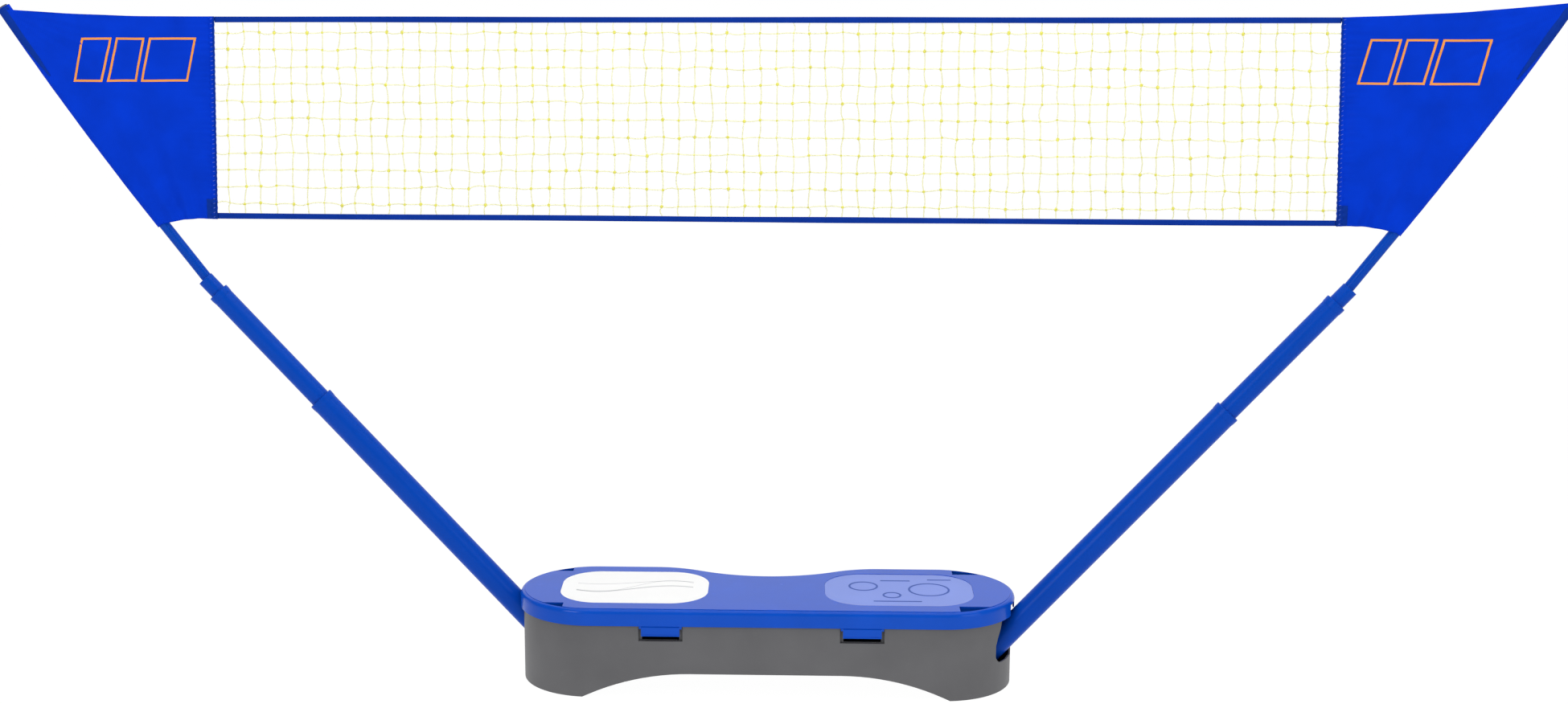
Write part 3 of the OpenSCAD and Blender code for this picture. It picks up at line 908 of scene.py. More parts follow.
@dataclass(frozen=True)
class CasePlan:
    """The case's outline from above: two round ends and a waist in the back edge."""

    length: float = 1000 * MM
    width: float = 300 * MM
    waist_depth: float = 58 * MM
    waist_r: float = 285 * MM
    shoulder_r: float = 200 * MM
    front_steps: int = 28
    end_steps: int = 56
    flat_steps: int = 5
    shoulder_steps: int = 10
    waist_steps: int = 30

    @staticmethod
    def _line(start: Sequence[float], end: Sequence[float], count: int) -> list:
        """Evenly spaced points on a line, without its end."""
        return [tuple(Vector(start).lerp(Vector(end), i / count)) for i in range(count)]

    @staticmethod
    def _arc(
        middle: Sequence[float], radius: float, start: float, end: float, count: int
    ) -> list:
        """Evenly spaced points on an arc, without its end.

        Args:
            middle: the arc's centre.
            radius: its radius.
            start: where it starts, in degrees.
            end: where it ends, in degrees.
            count: how many points it has.

        Returns:
            The points.
        """
        turns = [math.radians(start + (end - start) * i / count) for i in range(count)]
        return [
            (middle[0] + radius * math.cos(t), middle[1] + radius * math.sin(t))
            for t in turns
        ]

    def outline(self, inset: float) -> list:
        """The outline drawn in by inset: as many points for every inset.

        Args:
            inset: how far it is drawn in, in metres.

        Returns:
            The points, anticlockwise from the front edge's left end.
        """
        half = self.width / 2 - inset
        end_x = (self.length - self.width) / 2
        waist_y = self.width / 2 - self.waist_depth + self.waist_r
        shoulder_y = self.width / 2 - self.shoulder_r
        rise = waist_y - shoulder_y
        shoulder_x = math.sqrt((self.waist_r + self.shoulder_r) ** 2 - rise**2)
        turn = math.degrees(math.atan2(rise, -shoulder_x))
        bend = self.shoulder_r - inset
        flat, bent = self.flat_steps, self.shoulder_steps
        left, right = (-shoulder_x, shoulder_y), (shoulder_x, shoulder_y)
        waist_r = self.waist_r + inset
        return (
            self._line((-end_x, -half), (end_x, -half), self.front_steps)
            + self._arc((end_x, 0), half, -90, 90, self.end_steps)
            + self._line((end_x, half), (shoulder_x, half), flat)
            + self._arc(right, bend, 90, turn, bent)
            + self._arc((0, waist_y), waist_r, turn - 180, -turn, self.waist_steps)
            + self._arc(left, bend, 180 - turn, 90, bent)
            + self._line((-shoulder_x, half), (-end_x, half), flat)
            + self._arc((-end_x, 0), half, 90, 270, self.end_steps)
        )

    def loft(self, profile: Sequence[tuple[float, float]]) -> bmesh.types.BMesh:
        """A closed shell whose rings follow the outline.

        Args:
            profile: the inset and the height of each ring.

        Returns:
            The shell, with a cap on its first and its last ring.
        """
        bm = bmesh.new()
        order = bm.verts.layers.int.new("order")
        inset, height = profile[0]
        first = []
        for index, (x, y) in enumerate(self.outline(inset)):
            vert = bm.verts.new((x, y + CASE_Y, height))
            vert[order] = index
            first.append(vert)
        bm.faces.new(first)
        ring = list(bm.edges)
        for inset, height in profile[1:]:
            grown = bmesh.ops.extrude_edge_only(bm, edges=ring)["geom"]
            outline = self.outline(inset)
            for vert in only(bmesh.types.BMVert, grown):
                x, y = outline[vert[order]]
                vert.co = (x, y + CASE_Y, height)
            ring = only(bmesh.types.BMEdge, grown)
        bmesh.ops.edgeloop_fill(bm, edges=ring)
        bmesh.ops.recalc_face_normals(bm, faces=bm.faces)
        return bm


@dataclass
class Case:
    """The storage case: tub, lid, latches, hinges and handle."""

    plan: CasePlan = field(default_factory=CasePlan)
    field_z: float = 184 * MM
    ledge_z: float = 182.5 * MM
    skirt_z: float = 150 * MM
    lid_under: float = 179 * MM
    lid_wall: float = 3 * MM
    skirt_soft: float = 0.5 * MM
    edge_r: float = 7.2 * MM
    edge_h: float = 11 * MM
    edge_steps: int = 8
    under_soft: float = 2 * MM
    ledge_w: float = 9 * MM
    ledge_rise: float = 0.3 * MM
    tub_soft: float = 0.9 * MM
    grip_soft: float = 3 * MM
    latch_soft: float = 0.5 * MM
    hinge_x: float = 290 * MM
    hinge: tuple[float, float] = (148 * MM, 146 * MM)
    knuckle_r: float = 6 * MM
    knuckle_l: float = 36 * MM
    lid_knuckle_l: float = 18 * MM
    knuckle_gap: float = 0.3 * MM
    knuckle_neck: tuple[float, float] = (2 * MM, 10 * MM)  # into the lid, and up
    knuckle_cut: tuple[float, float, float] = (6 * MM, 3 * MM, 4 * MM)  # in, out, up
    hinge_bore: tuple[float, float] = (2.8 * MM, 90 * MM)
    latch_x: tuple[float, float] = (-208 * MM, 190 * MM)
    latch_w: float = 76 * MM
    latch: tuple[float, float] = (-149.7 * MM, 146.7 * MM)
    latch_bore: tuple[float, float] = (1.55 * MM, 92 * MM)
    lug_r: float = 3 * MM
    lug_w: float = 4 * MM
    lug_h: float = 6.3 * MM
    lug_gap: float = 2.3 * MM
    hook_half: float = 37 * MM
    hook_y: tuple[float, float] = (-143 * MM, -134 * MM)
    hook_z: tuple[float, float] = (118.6 * MM, 130 * MM)
    pole_y: float = 30 * MM
    slot_w: float = 58 * MM
    slot_top: float = 6 * MM
    plate_x: float = 267 * MM
    plate: tuple[float, float, float] = (298 * MM, 210 * MM, 78 * MM)
    plate_gap: float = 0.3 * MM
    recess: tuple[float, float] = (0.6 * MM, 1.4 * MM)
    pocket_x: tuple[float, float] = (-403 * MM, 382 * MM)
    pocket_y: float = 106 * MM
    pocket_depth: float = 4.2 * MM
    # How thick the dark plate of painted shade on each pocket's floor is.
    pocket_floor: float = 0.4 * MM
    pocket_inset: float = 0.05 * MM
    pocket_over: float = 3 * MM
    plate_over: float = 5 * MM
    # In millimetres: how far in and down the field's edge lies, each ring's x, y and
    # radius, each bar's x, y and length, the ring's width, and the y and z of the
    # mouth's corners.
    field_edge: tuple[tuple[float, float], ...] = ((0.1, 0.6), (0.4, 0.15), (1.0, 0.0))
    rings: tuple[tuple[float, float, float], ...] = (
        (196, 24, 30),
        (252, -34, 19),
        (328, 4, 42),
    )
    bars: tuple[tuple[float, float, float], ...] = (
        (262, -74, 96),
        (262, 62, 60),
        (352, 70, 48),
    )
    ring_w: float = 4.0
    ring_steps: int = 48
    mouth: tuple[tuple[float, float], ...] = (
        (40, 182),
        (77, 182),
        (79, 150),
        (84, 132),
        (91, 115),
        (95.5, 100),
        (97, 88),
        (96, 76),
        (93.5, 70),
        (89, 64.5),
        (84, 62),
        (76, 61),
        (60, 60.5),
        (40, 62),
    )
    mouth_x: float = 457 * MM
    mouth_l: float = 60 * MM
    mark_z: float = 0.8 * MM
    mark_foot: float = 0.05 * MM
    ring_h: float = 0.45 * MM
    bar_h: float = 0.4 * MM
    bar_half: float = 2.2 * MM

    def build(self, shop: Workshop) -> None:
        """Builds the whole case.

        Args:
            shop: the workshop.
        """
        self._lid(shop)
        self._marks(shop)
        tub = shop.from_node("base_tub", "case_tub", self.tub_soft)
        shop.cut(tub, shop.new_object("hook_slots", self._hook_slots()), "DIFFERENCE")
        for side in Side:
            shop.cut(tub, shop.new_object("mouth", self._mouth(side)), "DIFFERENCE")
        shop.smooth(tub)
        shop.settle(tub, "case_plastic", "base", ["base_tub"])
        handle = shop.from_node("carry_handle", "grip", self.grip_soft)
        shop.settle(handle, "lid_plastic", "base", ["carry_handle"])
        for side in Side:
            name = f"{side.word}_latch"
            tab = shop.from_node(name, f"{name}_tab", self.latch_soft)
            shop.settle(tab, "lid_plastic", name, [name])

    def _hook_slots(self) -> bmesh.types.BMesh:
        """The dark slots below the latches, where their hooks go through the tub.

        Returns:
            The shapes to cut out of the tub.
        """
        bm = bmesh.new()
        for x in self.latch_x:
            low = (x - self.hook_half, self.hook_y[0], self.hook_z[0])
            add_box(bm, low, (x + self.hook_half, self.hook_y[1], self.hook_z[1]))
        return bm

    def _mouth(self, side: Side) -> bmesh.types.BMesh:
        """The end slot's flare towards the front, which shows the pole's foot.

        Args:
            side: the end that it is at.

        Returns:
            The shape to cut out of the tub.
        """
        bm = bmesh.new()
        corners = [bm.verts.new((self.mouth_x, -y * MM, z * MM)) for y, z in self.mouth]
        face = bm.faces.new(corners)
        grown = bmesh.ops.extrude_face_region(bm, geom=[face])["geom"]
        far = only(bmesh.types.BMVert, grown)
        bmesh.ops.translate(bm, vec=(self.mouth_l, 0, 0), verts=far)
        bmesh.ops.recalc_face_normals(bm, faces=bm.faces)
        bmesh.ops.transform(bm, matrix=to_side(side), verts=bm.verts)
        return bm

    def _lid_profile(self) -> list:
        """The lid's section: inside, skirt's edge, rounded rim, ledge and field.

        Returns:
            The inset and the height of each ring.
        """
        soft = self.skirt_soft
        count = self.edge_steps
        steps = [math.radians(90 * i / count) for i in range(count + 1)]
        rim = [
            (
                self.edge_r * (1 - math.cos(a)),
                self.ledge_z - self.edge_h * (1 - math.sin(a)),
            )
            for a in steps
        ]
        edge = [
            (self.ledge_w + into * MM, self.field_z - down * MM)
            for into, down in self.field_edge
        ]
        return [
            (self.lid_wall + self.under_soft, self.lid_under),
            (self.lid_wall, self.lid_under - self.under_soft),
            (self.lid_wall, self.skirt_z + soft),
            (self.lid_wall - soft, self.skirt_z),
            (soft, self.skirt_z),
            (0.0, self.skirt_z + soft),
            *rim,
            (self.ledge_w, self.ledge_z + self.ledge_rise),
            *edge,
        ]

    def _lid(self, shop: Workshop) -> None:
        """The lid: a lofted shell with its pockets, recesses and notches cut in.

        Args:
            shop: the workshop.
        """
        lid = shop.new_object("lid", self.plan.loft(self._lid_profile()))
        shop.cut(lid, shop.new_object("lid_fittings", self._fittings()), "UNION")
        shop.cut(lid, shop.new_object("lid_cuts", self._lid_cuts()), "DIFFERENCE")
        floor = self.field_z - self.pocket_depth
        for x in self.pocket_x:
            for t in (-1, 1):
                hollow = self._pocket(x, t, self.field_z + self.pocket_over)
                shop.cut(lid, shop.new_object("pocket", hollow), "DIFFERENCE")
                # A thin dark plate on each pocket's floor: painted shade for the deep
                # pocket's shadow.
                shadow = self._pocket(x, t, floor + self.pocket_floor)
                shadow = shop.new_object("pocket_floor", shadow)
                shop.settle(shadow, "pocket_floor", "lid")
        for x, depth in zip((-self.plate_x, self.plate_x), self.recess):
            length, width, radius = (v + self.plate_gap for v in self.plate)
            low, high = self.field_z - depth, self.field_z + self.plate_over
            slab = rounded_slab(length, width, radius, low, high, x)
            shop.cut(lid, shop.new_object("plate_recess", slab), "DIFFERENCE")
        shop.smooth(lid)
        shop.settle(lid, "lid_plastic", "lid", ["lid_shell"])

    def _fittings(self) -> bmesh.types.BMesh:
        """The lid's hinge knuckles and the lugs that hold its latches.

        Returns:
            The shapes to join to the lid.
        """
        bm = bmesh.new()
        y, z = self.hinge
        back = self.plan.width / 2 + CASE_Y
        reach = self.knuckle_l / 2 + self.knuckle_gap + self.lid_knuckle_l / 2
        half = self.lid_knuckle_l / 2
        into, up = self.knuckle_neck
        for x in (s * self.hinge_x + t * reach for s in (-1, 1) for t in (-1, 1)):
            add_rod(bm, self.knuckle_r, self.lid_knuckle_l, (x, y, z))
            add_box(bm, (x - half, back - into, z), (x + half, y, z + up))
        y, z = self.latch
        reach = self.latch_w / 2 + self.lug_gap
        half = self.lug_w / 2
        for x in (m + t * reach for m in self.latch_x for t in (-1, 1)):
            add_rod(bm, self.lug_r, self.lug_w, (x, y, z))
            low = (x - half, y - self.lug_r, z)
            add_box(bm, low, (x + half, y + self.lug_r, z + self.lug_h))
        return bm

    def _lid_cuts(self) -> bmesh.types.BMesh:
        """The notches over the poles, the gaps for the tub's knuckles and the bores.

        Returns:
            The shapes to cut out of the lid.
        """
        bm = bmesh.new()
        half = self.slot_w / 2
        edge = self.plan.length / 2
        for side in Side:
            s = side.value
            x = sorted((s * (edge - half), s * (edge + half)))
            y = sorted((s * (half - self.pole_y), s * (-half - self.pole_y)))
            low = (x[0], y[0] + CASE_Y, self.skirt_z - MM)
            add_box(bm, low, (x[1], y[1] + CASE_Y, self.lid_under - self.slot_top))
        gap = self.knuckle_l / 2 + self.knuckle_gap
        back = self.plan.width / 2 + CASE_Y
        ahead, behind, up = self.knuckle_cut
        for x in (-self.hinge_x, self.hinge_x):
            low = (x - gap, back - ahead, self.skirt_z - MM)
            add_box(bm, low, (x + gap, back + behind, self.skirt_z + up))
            add_rod(bm, *self.hinge_bore, (x, *self.hinge))
        for x in self.latch_x:
            add_rod(bm, *self.latch_bore, (x, *self.latch))
        return bm

    def _pocket(self, x: float, t: int, top: float) -> bmesh.types.BMesh:
        """One finger pocket in a corner of the field.

        Args:
            x: where it starts along the case.
            t: the front, -1, or the back, 1.
            top: the height that it is filled to.

        Returns:
            The pocket's shape from its floor up.
        """
        inset = self.ledge_w + self.pocket_inset
        bm = self.plan.loft([(inset, self.field_z - self.pocket_depth), (inset, top)])
        walls = (
            ((x, 0, 0), (-math.copysign(1, x), 0, 0)),
            ((0, t * self.pocket_y + CASE_Y, 0), (0, -t, 0)),
        )
        for point, normal in walls:
            cut = bmesh.ops.bisect_plane(
                bm,
                geom=bm.verts[:] + bm.edges[:] + bm.faces[:],
                plane_co=point,
                plane_no=normal,
                clear_outer=True,
            )["geom_cut"]
            bmesh.ops.contextual_create(bm, geom=only(bmesh.types.BMEdge, cut))
        bmesh.ops.recalc_face_normals(bm, faces=bm.faces)
        return bm

    def _marks(self, shop: Workshop) -> None:
        """Plain raised shapes on the pale panel: rings and bars that say nothing.

        Args:
            shop: the workshop.
        """
        bm = bmesh.new()
        face = self.field_z - self.mark_z
        foot = face - self.mark_foot
        for x, y, r in self.rings:
            middle = Matrix.Translation((x * MM, y * MM + CASE_Y, foot))
            circle = bmesh.ops.create_circle(
                bm,
                cap_ends=False,
                segments=self.ring_steps,
                radius=r * MM,
                matrix=middle,
            )["verts"]
            bm.edges.index_update()
            edges = {e for v in circle for e in v.link_edges}
            rim = sorted(edges, key=lambda edge: edge.index)
            inner = bmesh.ops.extrude_edge_only(bm, edges=rim)["geom"]
            share = (r - self.ring_w) / r
            bmesh.ops.scale(
                bm,
                vec=(share, share, 1),
                space=middle.inverted(),
                verts=only(bmesh.types.BMVert, inner),
            )
        flat = list(bm.faces)
        raised = bmesh.ops.extrude_face_region(bm, geom=flat)["geom"]
        up = only(bmesh.types.BMVert, raised)
        bmesh.ops.translate(bm, vec=(0, 0, self.ring_h), verts=up)
        for x, y, length in self.bars:
            half, y = length * MM / 2, y * MM + CASE_Y
            low = (x * MM - half, y - self.bar_half, foot)
            high = (x * MM + half, y + self.bar_half, face + self.bar_h)
            add_box(bm, low, high)
        bmesh.ops.recalc_face_normals(bm, faces=bm.faces)
        marks = shop.new_object("panel_marks", bm)
        shop.smooth(marks)
        shop.settle(marks, "raised_mark", "lid")


# ---- Poles ---------------------------------------------------------------------------


def to_side(side: Side) -> Matrix:
    """Turns what is drawn at the right end to either end of the case."""
    turn = Matrix.Rotation(0.0 if side is Side.RIGHT else math.pi, 4, "Z")
    return Matrix.Translation((0, CASE_Y, 0)) @ turn


@dataclass
class Pole:
    """One telescopic pole. Heights are measured along it from its root pin."""

    side: Side
    root: tuple[float, float, float] = (440 * MM, -30 * MM, 58.4 * MM)
    lean: float = 47.6
    lower_r: float = 25 * MM
    lower_bore: float = 22.5 * MM
    lower_tail: float = 22 * MM
    lower_top: float = 685 * MM
    middle_r: float = 20.5 * MM
    middle_bore: float = 18.5 * MM
    reducer_bore: float = 16.15 * MM
    middle_top: float = 980 * MM
    hidden: float = 80 * MM
    collar_t: float = 0.9 * MM
    collar_l: float = 12 * MM
    flare: float = 0.3
    plate: float = 3 * MM
    plate_edge: float = 1.0 * MM
    seat: float = 0.15 * MM
    gap: float = 0.3 * MM
    slack: float = 0.12 * MM
    tube_soft: float = 0.3 * MM
    collar_soft: float = 0.25 * MM
    reducer_soft: float = 0.5 * MM
    turn_steps: int = 72
    crease: float = 50.0

    def place(self) -> Matrix:
        """Stands what is drawn upright on the pole's axis."""
        tilt = Matrix.Rotation(math.radians(90 - self.lean), 4, "Y")
        return to_side(self.side) @ Matrix.Translation(self.root) @ tilt

    def _turned(
        self, shop: Workshop, name: str, profile: Sequence, soft: float
    ) -> bpy.types.Object:
        """A ring turned round the pole's axis.

        Args:
            shop: the workshop.
            name: the piece's name.
            profile: the radius and the height of each corner of its section.
            soft: how far its edges are rounded.

        Returns:
            The piece.
        """
        bm = bmesh.new()
        corners = [bm.verts.new((r, 0, z)) for r, z in profile]
        bm.faces.new(corners)
        section = bm.edges[:]
        bmesh.ops.delete(bm, geom=bm.faces[:], context="FACES_ONLY")
        bmesh.ops.spin(
            bm,
            geom=bm.verts[:] + section,
            cent=(0, 0, 0),
            axis=(0, 0, 1),
            angle=2 * math.pi,
            steps=self.turn_steps,
            use_merge=True,
            use_duplicate=False,
        )
        bmesh.ops.remove_doubles(bm, verts=bm.verts, dist=MERGE)
        bmesh.ops.transform(bm, matrix=self.place(), verts=bm.verts)
        bmesh.ops.recalc_face_normals(bm, faces=bm.faces)
        piece = shop.new_object(name, bm)
        if soft:
            shop.round_edges(piece, soft)
        shop.smooth(piece, self.crease)
        return piece

    def _tube(
        self, shop: Workshop, name: str, outer: float, inner: float, ends: Sequence
    ) -> bpy.types.Object:
        """A plain tube between two heights.

        Args:
            shop: the workshop.
            name: the tube's name.
            outer: its outer radius.
            inner: the radius of its bore.
            ends: the heights of its two ends.

        Returns:
            The tube.
        """
        low, high = ends
        profile = [(inner, low), (outer, low), (outer, high), (inner, high)]
        return self._turned(shop, name, profile, self.tube_soft)

    def _collar(
        self, shop: Workshop, name: str, tube_r: float, bore: float, end: float
    ) -> bpy.types.Object:
        """A collar over a tube's end, with a flared skirt and a plate.

        Args:
            shop: the workshop.
            name: the collar's name.
            tube_r: the radius of the tube that it fits over.
            bore: the radius of the hole in its plate.
            end: the height of that tube's end.

        Returns:
            The collar.
        """
        inner = tube_r + self.seat
        outer = inner + self.collar_t
        top = end + self.seat + self.plate
        profile = [
            (inner, end - self.collar_l),
            (inner + self.flare * self.collar_t, end - self.collar_l),
            (outer, end - self.flare * self.collar_l),
            (outer, top - self.plate_edge),
            (outer - self.plate_edge, top),
            (bore, top),
            (bore, end + self.seat),
            (inner, end + self.seat),
        ]
        return self._turned(shop, name, profile, self.collar_soft)

    def build(self, shop: Workshop) -> None:
        """Builds the pole's plastic tubes and collars, and dresses its other parts.

        Args:
            shop: the workshop.
        """
        word = self.side.word
        base, mid, top = "base", f"{word}_mid", f"{word}_top"
        lower = self._tube(
            shop,
            f"{word}_low_pole",
            self.lower_r,
            self.lower_bore,
            (-self.lower_tail, self.lower_top),
        )
        shop.settle(lower, "pole_plastic", base, [f"{word}_lower_tube"])
        middle = self._tube(
            shop,
            f"{word}_mid_pole",
            self.middle_r,
            self.middle_bore,
            (self.lower_top - self.hidden, self.middle_top),
        )
        shop.settle(middle, "pole_plastic", mid, [f"{word}_middle_tube"])
        bore = self.middle_r + self.gap
        ring = self._collar(
            shop, f"{word}_low_collar", self.lower_r, bore, self.lower_top
        )
        shop.settle(ring, "pole_plastic", base, [f"{word}_lower_collar"])
        bore = self.reducer_bore
        ring = self._collar(
            shop, f"{word}_mid_collar", self.middle_r, bore, self.middle_top
        )
        shop.settle(ring, "pole_plastic", mid, [f"{word}_middle_collar"])
        reducer = shop.from_node(
            f"{word}_reducer", f"{word}_step_down", self.reducer_soft
        )
        shop.settle(reducer, "pole_plastic", mid, [f"{word}_reducer"])
        steel = shop.from_node(f"{word}_top_tube", f"{word}_steel_pole")
        slim = steel.modifiers.new("slim", "DISPLACE")
        slim.strength = -self.slack
        slim.mid_level = 0.0
        shop.bake(steel)
        shop.settle(steel, "painted_steel", top, [f"{word}_top_tube"])


# ---- Cloth ---------------------------------------------------------------------------


def mix(first: float, second: float, share: float) -> float:
    """A number between two others."""
    return first + (second - first) * share


def squared(turn: float, power: float) -> float:
    """The cosine of an angle, drawn towards -1 and 1 by a power below 1."""
    return (abs(math.cos(turn)) ** power) * math.copysign(1, math.cos(turn))


@dataclass
class NetPlane:
    """Where the net and the side panels hang, drawn for the right end."""

    top_x: float = 1084 * MM
    bottom_x: float = 1095 * MM
    top_z: float = 1327 * MM
    bottom_z: float = 939 * MM
    end_y: float = 25 * MM
    tape_w: float = 12 * MM
    hem_w: float = 12 * MM
    pole_y: float = 30 * MM

    def half(self, z: float) -> float:
        """Half the mesh's length at a height."""
        share = (z - self.bottom_z) / (self.top_z - self.bottom_z)
        return mix(self.bottom_x, self.top_x, share)

    def y(self, x: float) -> float:
        """The net's place from front to back, at a place along it."""
        middle = (self.top_x + self.bottom_x) / 2
        return -self.end_y * x / middle + CASE_Y


@dataclass
class TopBow:
    """The top tube's axis: straight out of the reducer, then bowed by the net."""

    root: tuple[float, float] = (440 * MM, 58.4 * MM)
    lean: float = 47.6
    kink: float = 5.5
    kink_at: float = 983.5 * MM
    # The reducer's nose, along the kinked axis, and the bare steel above it.
    straight: float = (36.5 / math.cos(math.radians(5.5)) + 136) * MM
    sleeved: float = 515 * MM
    bow: float = 4.4

    def point(self, share: float, off: float) -> tuple[float, float]:
        """A place in the right pole's plane.

        Args:
            share: 0 at the sleeve's lower end and 1 at the tip.
            off: the distance from the axis towards the net.

        Returns:
            Its x and z.
        """
        turn = math.radians(self.bow) * share
        bend = self.sleeved / math.radians(self.bow)
        side = -bend + (bend - off) * math.cos(turn)
        along = self.straight + (bend - off) * math.sin(turn)
        lean = math.radians(self.lean)
        top = math.radians(self.lean + self.kink)
        x = self.root[0] + self.kink_at * math.cos(lean)
        z = self.root[1] + self.kink_at * math.sin(lean)
        return (
            x + along * math.cos(top) + side * math.sin(top),
            z + along * math.sin(top) - side * math.cos(top),
        )


def cloth_grid(
    bm: bmesh.types.BMesh,
    columns: int,
    rows: int,
    size: tuple[float, float],
    shape: Callable[[float, float], Vector],
) -> None:
    """Adds a grid of cloth and bends it into shape.

    Args:
        bm: the bmesh.
        columns: faces across.
        rows: faces up.
        size: the cloth's flat width and length, for its weave.
        shape: where a place of the flat cloth, from 0 to 1 each way, ends up.
    """
    layer = bm.loops.layers.uv.verify()
    made = bmesh.ops.create_grid(bm, x_segments=columns, y_segments=rows, size=0.5)
    verts = made["verts"]
    for face in {f for v in verts for f in v.link_faces}:
        face.smooth = True
        for loop in face.loops:
            u, v = loop.vert.co.x + 0.5, loop.vert.co.y + 0.5
            loop[layer].uv = (u * size[0], v * size[1])
    for vert in verts:
        vert.co = shape(vert.co.x + 0.5, vert.co.y + 0.5)


def cloth_tube(
    columns: int,
    rows: int,
    size: tuple[float, float],
    shape: Callable[[float, float], Vector],
    closed: bool = True,
) -> bmesh.types.BMesh:
    """A strip of cloth bent round until its two long edges meet.

    Args:
        columns: faces round it.
        rows: faces along it.
        size: the cloth's flat width and length, for its weave.
        shape: where a place of the flat cloth, from 0 to 1 each way, ends up.
        closed: whether its ends are filled.

    Returns:
        The tube.
    """
    bm = bmesh.new()
    cloth_grid(bm, columns, rows, size, shape)
    bmesh.ops.remove_doubles(bm, verts=bm.verts, dist=CLOTH_MERGE)
    if closed:
        bmesh.ops.holes_fill(bm, edges=bm.edges)
    bmesh.ops.recalc_face_normals(bm, faces=bm.faces)
    return bm


@dataclass
class SideCloth:
    """One side panel with the sleeve that holds it to the top tube, and its hem."""

    side: Side
    plane: NetPlane = field(default_factory=NetPlane)
    bow: TopBow = field(default_factory=TopBow)
    sleeve_r: float = 12.5 * MM
    sleeve_loose: float = 0.35 * MM
    sleeve_in: float = 0.1 * MM
    cloth_t: float = 0.7 * MM
    end_gap: float = 5 * MM
    reach: tuple[float, float] = (1.004, 1.034)  # the left end's and the right end's
    # Each kind of unevenness has its height. Its reach is how far it takes to fade.
    # Its cells are those of the noise to a metre, or to a radian for drawn. Its
    # waves are radians to a metre, the radians that they wander, and cells.
    fold: float = 3.2 * MM
    fold_turn: tuple[float, float] = (1080.0, 70.0)  # degrees across and up the panel
    crumple: float = 2.2 * MM
    crumple_cells: tuple[float, float] = (14, 9)
    drawn: float = 9.0 * MM
    drawn_reach: float = 0.17
    drawn_cells: float = 15
    gather: float = 1.7 * MM
    gather_reach: float = 0.020
    gather_waves: tuple[float, float, float] = (480, 3, 30)
    gather_start: tuple[float, float] = (30, 0.15)  # its growth, from a least share
    pucker: float = 0.7 * MM
    pucker_reach: float = 0.010
    pucker_waves: tuple[float, float, float] = (420, 4, 22)
    tuck: float = 0.5 * MM
    tuck_swell: float = 0.3
    tuck_waves: tuple[float, float, float] = (560, 3, 26)
    sleeve_cells: float = 34
    sleeve_ease: float = 0.4
    panel_size: tuple[float, float] = (0.25, 0.40)  # roughly, for the two reaches
    sag: float = 4.5 * MM
    seam: float = 3 * MM
    hem_gap: float = 0.3 * MM
    hem_t: float = 3.2 * MM
    hem_square: float = 0.6
    binding_r: tuple[float, float] = (1.5 * MM, 1.1 * MM)  # half its width and depth
    binding_place: tuple[float, float] = (1.2 * MM, 2.6 * MM)  # outwards and ahead
    binding_pull: tuple[float, float] = (0.8 * MM, 60)  # its size and its cells
    # A thin dark strip on the sleeve's front near the tip: painted shade where the
    # cloth folds beside the sleeve.
    shield_t: float = 0.6 * MM
    shield_lift: float = 1.3 * MM
    shield_at: tuple[float, float] = (0.70, 1.008)  # shares of the sleeve's length
    shield_off: tuple[float, float] = (-12.0 * MM, 9.0 * MM)
    shield_axis: float = 1.5 * MM
    shield_taper: tuple[float, float] = (0.12, 1.3)  # its width at the foot, and up
    patch_t: float = 0.8 * MM
    patch_lift: float = 0.5 * MM
    patch_x: tuple[float, float] = (-0.8, 0.7)  # in hem widths
    patch_z: tuple[float, float] = (1 * MM, 40 * MM)
    stitches: int = 44
    stitch_at: tuple[float, float] = (0.52, 2.5 * MM)  # hem widths in, and ahead
    stitch_turn: tuple[float, float] = (-30, -8)  # degrees
    stitch_l: tuple[float, float] = (3.0, 5.5)  # millimetres
    stitch_t: tuple[float, float] = (0.8 * MM, 0.9 * MM)
    # Faces across and up each cloth, and its flat width and length.
    panel_grid: tuple = (110, 110, (0.40, 0.40))
    sleeve_grid: tuple = (26, 150, (0.08, 0.53))
    hem_grid: tuple = (20, 150, (0.03, 0.40))
    binding_grid: tuple = (8, 150, (0.01, 0.40))
    shield_grid: tuple = (12, 60, (0.02, 0.17))
    patch_grid: tuple = (16, 24, (0.018, 0.039))
    trim_x: tuple[float, float] = (1122 * MM, 1366 * MM)
    trim_z: tuple[float, float] = (1208 * MM, 1290 * MM)
    trim_widths: tuple[float, ...] = (54 * MM, 54 * MM, 88 * MM)
    trim_gap: float = 13 * MM
    trim_slant: float = 20 * MM
    trim_lift: float = 0.4 * MM
    trim_t: float = 0.5 * MM
    trim_steps: int = 12
    stitch_w: float = 4.2 * MM

    def _world(self, x: float, y: float, z: float) -> Vector:
        """A place drawn at the right end, at this panel's own end."""
        s = self.side.value
        return Vector((s * x, s * y + CASE_Y, z))

    def _corner(self, v: float) -> tuple[float, float]:
        """The hem's outer edge at a share of its height.

        Args:
            v: 0 at the bottom and 1 at the top.

        Returns:
            Its distance from the net's middle, and its height.
        """
        p = self.plane
        low = (p.bottom_x + p.hem_w + self.hem_gap, p.bottom_z - p.tape_w / 2)
        high = (p.top_x + p.hem_w + self.hem_gap, p.top_z + p.tape_w / 2)
        return mix(low[0], high[0], v), mix(low[1], high[1], v)

    def _edges(self, v: float) -> tuple[tuple[float, float], tuple[float, float]]:
        """The panel's two upright edges at a share of its height.

        The inner one is sewn into the hem. The outer one lies on the sleeve's front.

        Args:
            v: 0 at the bottom and 1 at the top.

        Returns:
            The inner edge's place and the outer edge's.
        """
        x, z = self._corner(v)
        reach = self.reach[1 if self.side is Side.RIGHT else 0]
        return (x - self.seam, z), self.bow.point(v * reach, 0.0)

    def _seed(self, number: float) -> float:
        """A place in the noise of this side's own."""
        return number * self.side.value

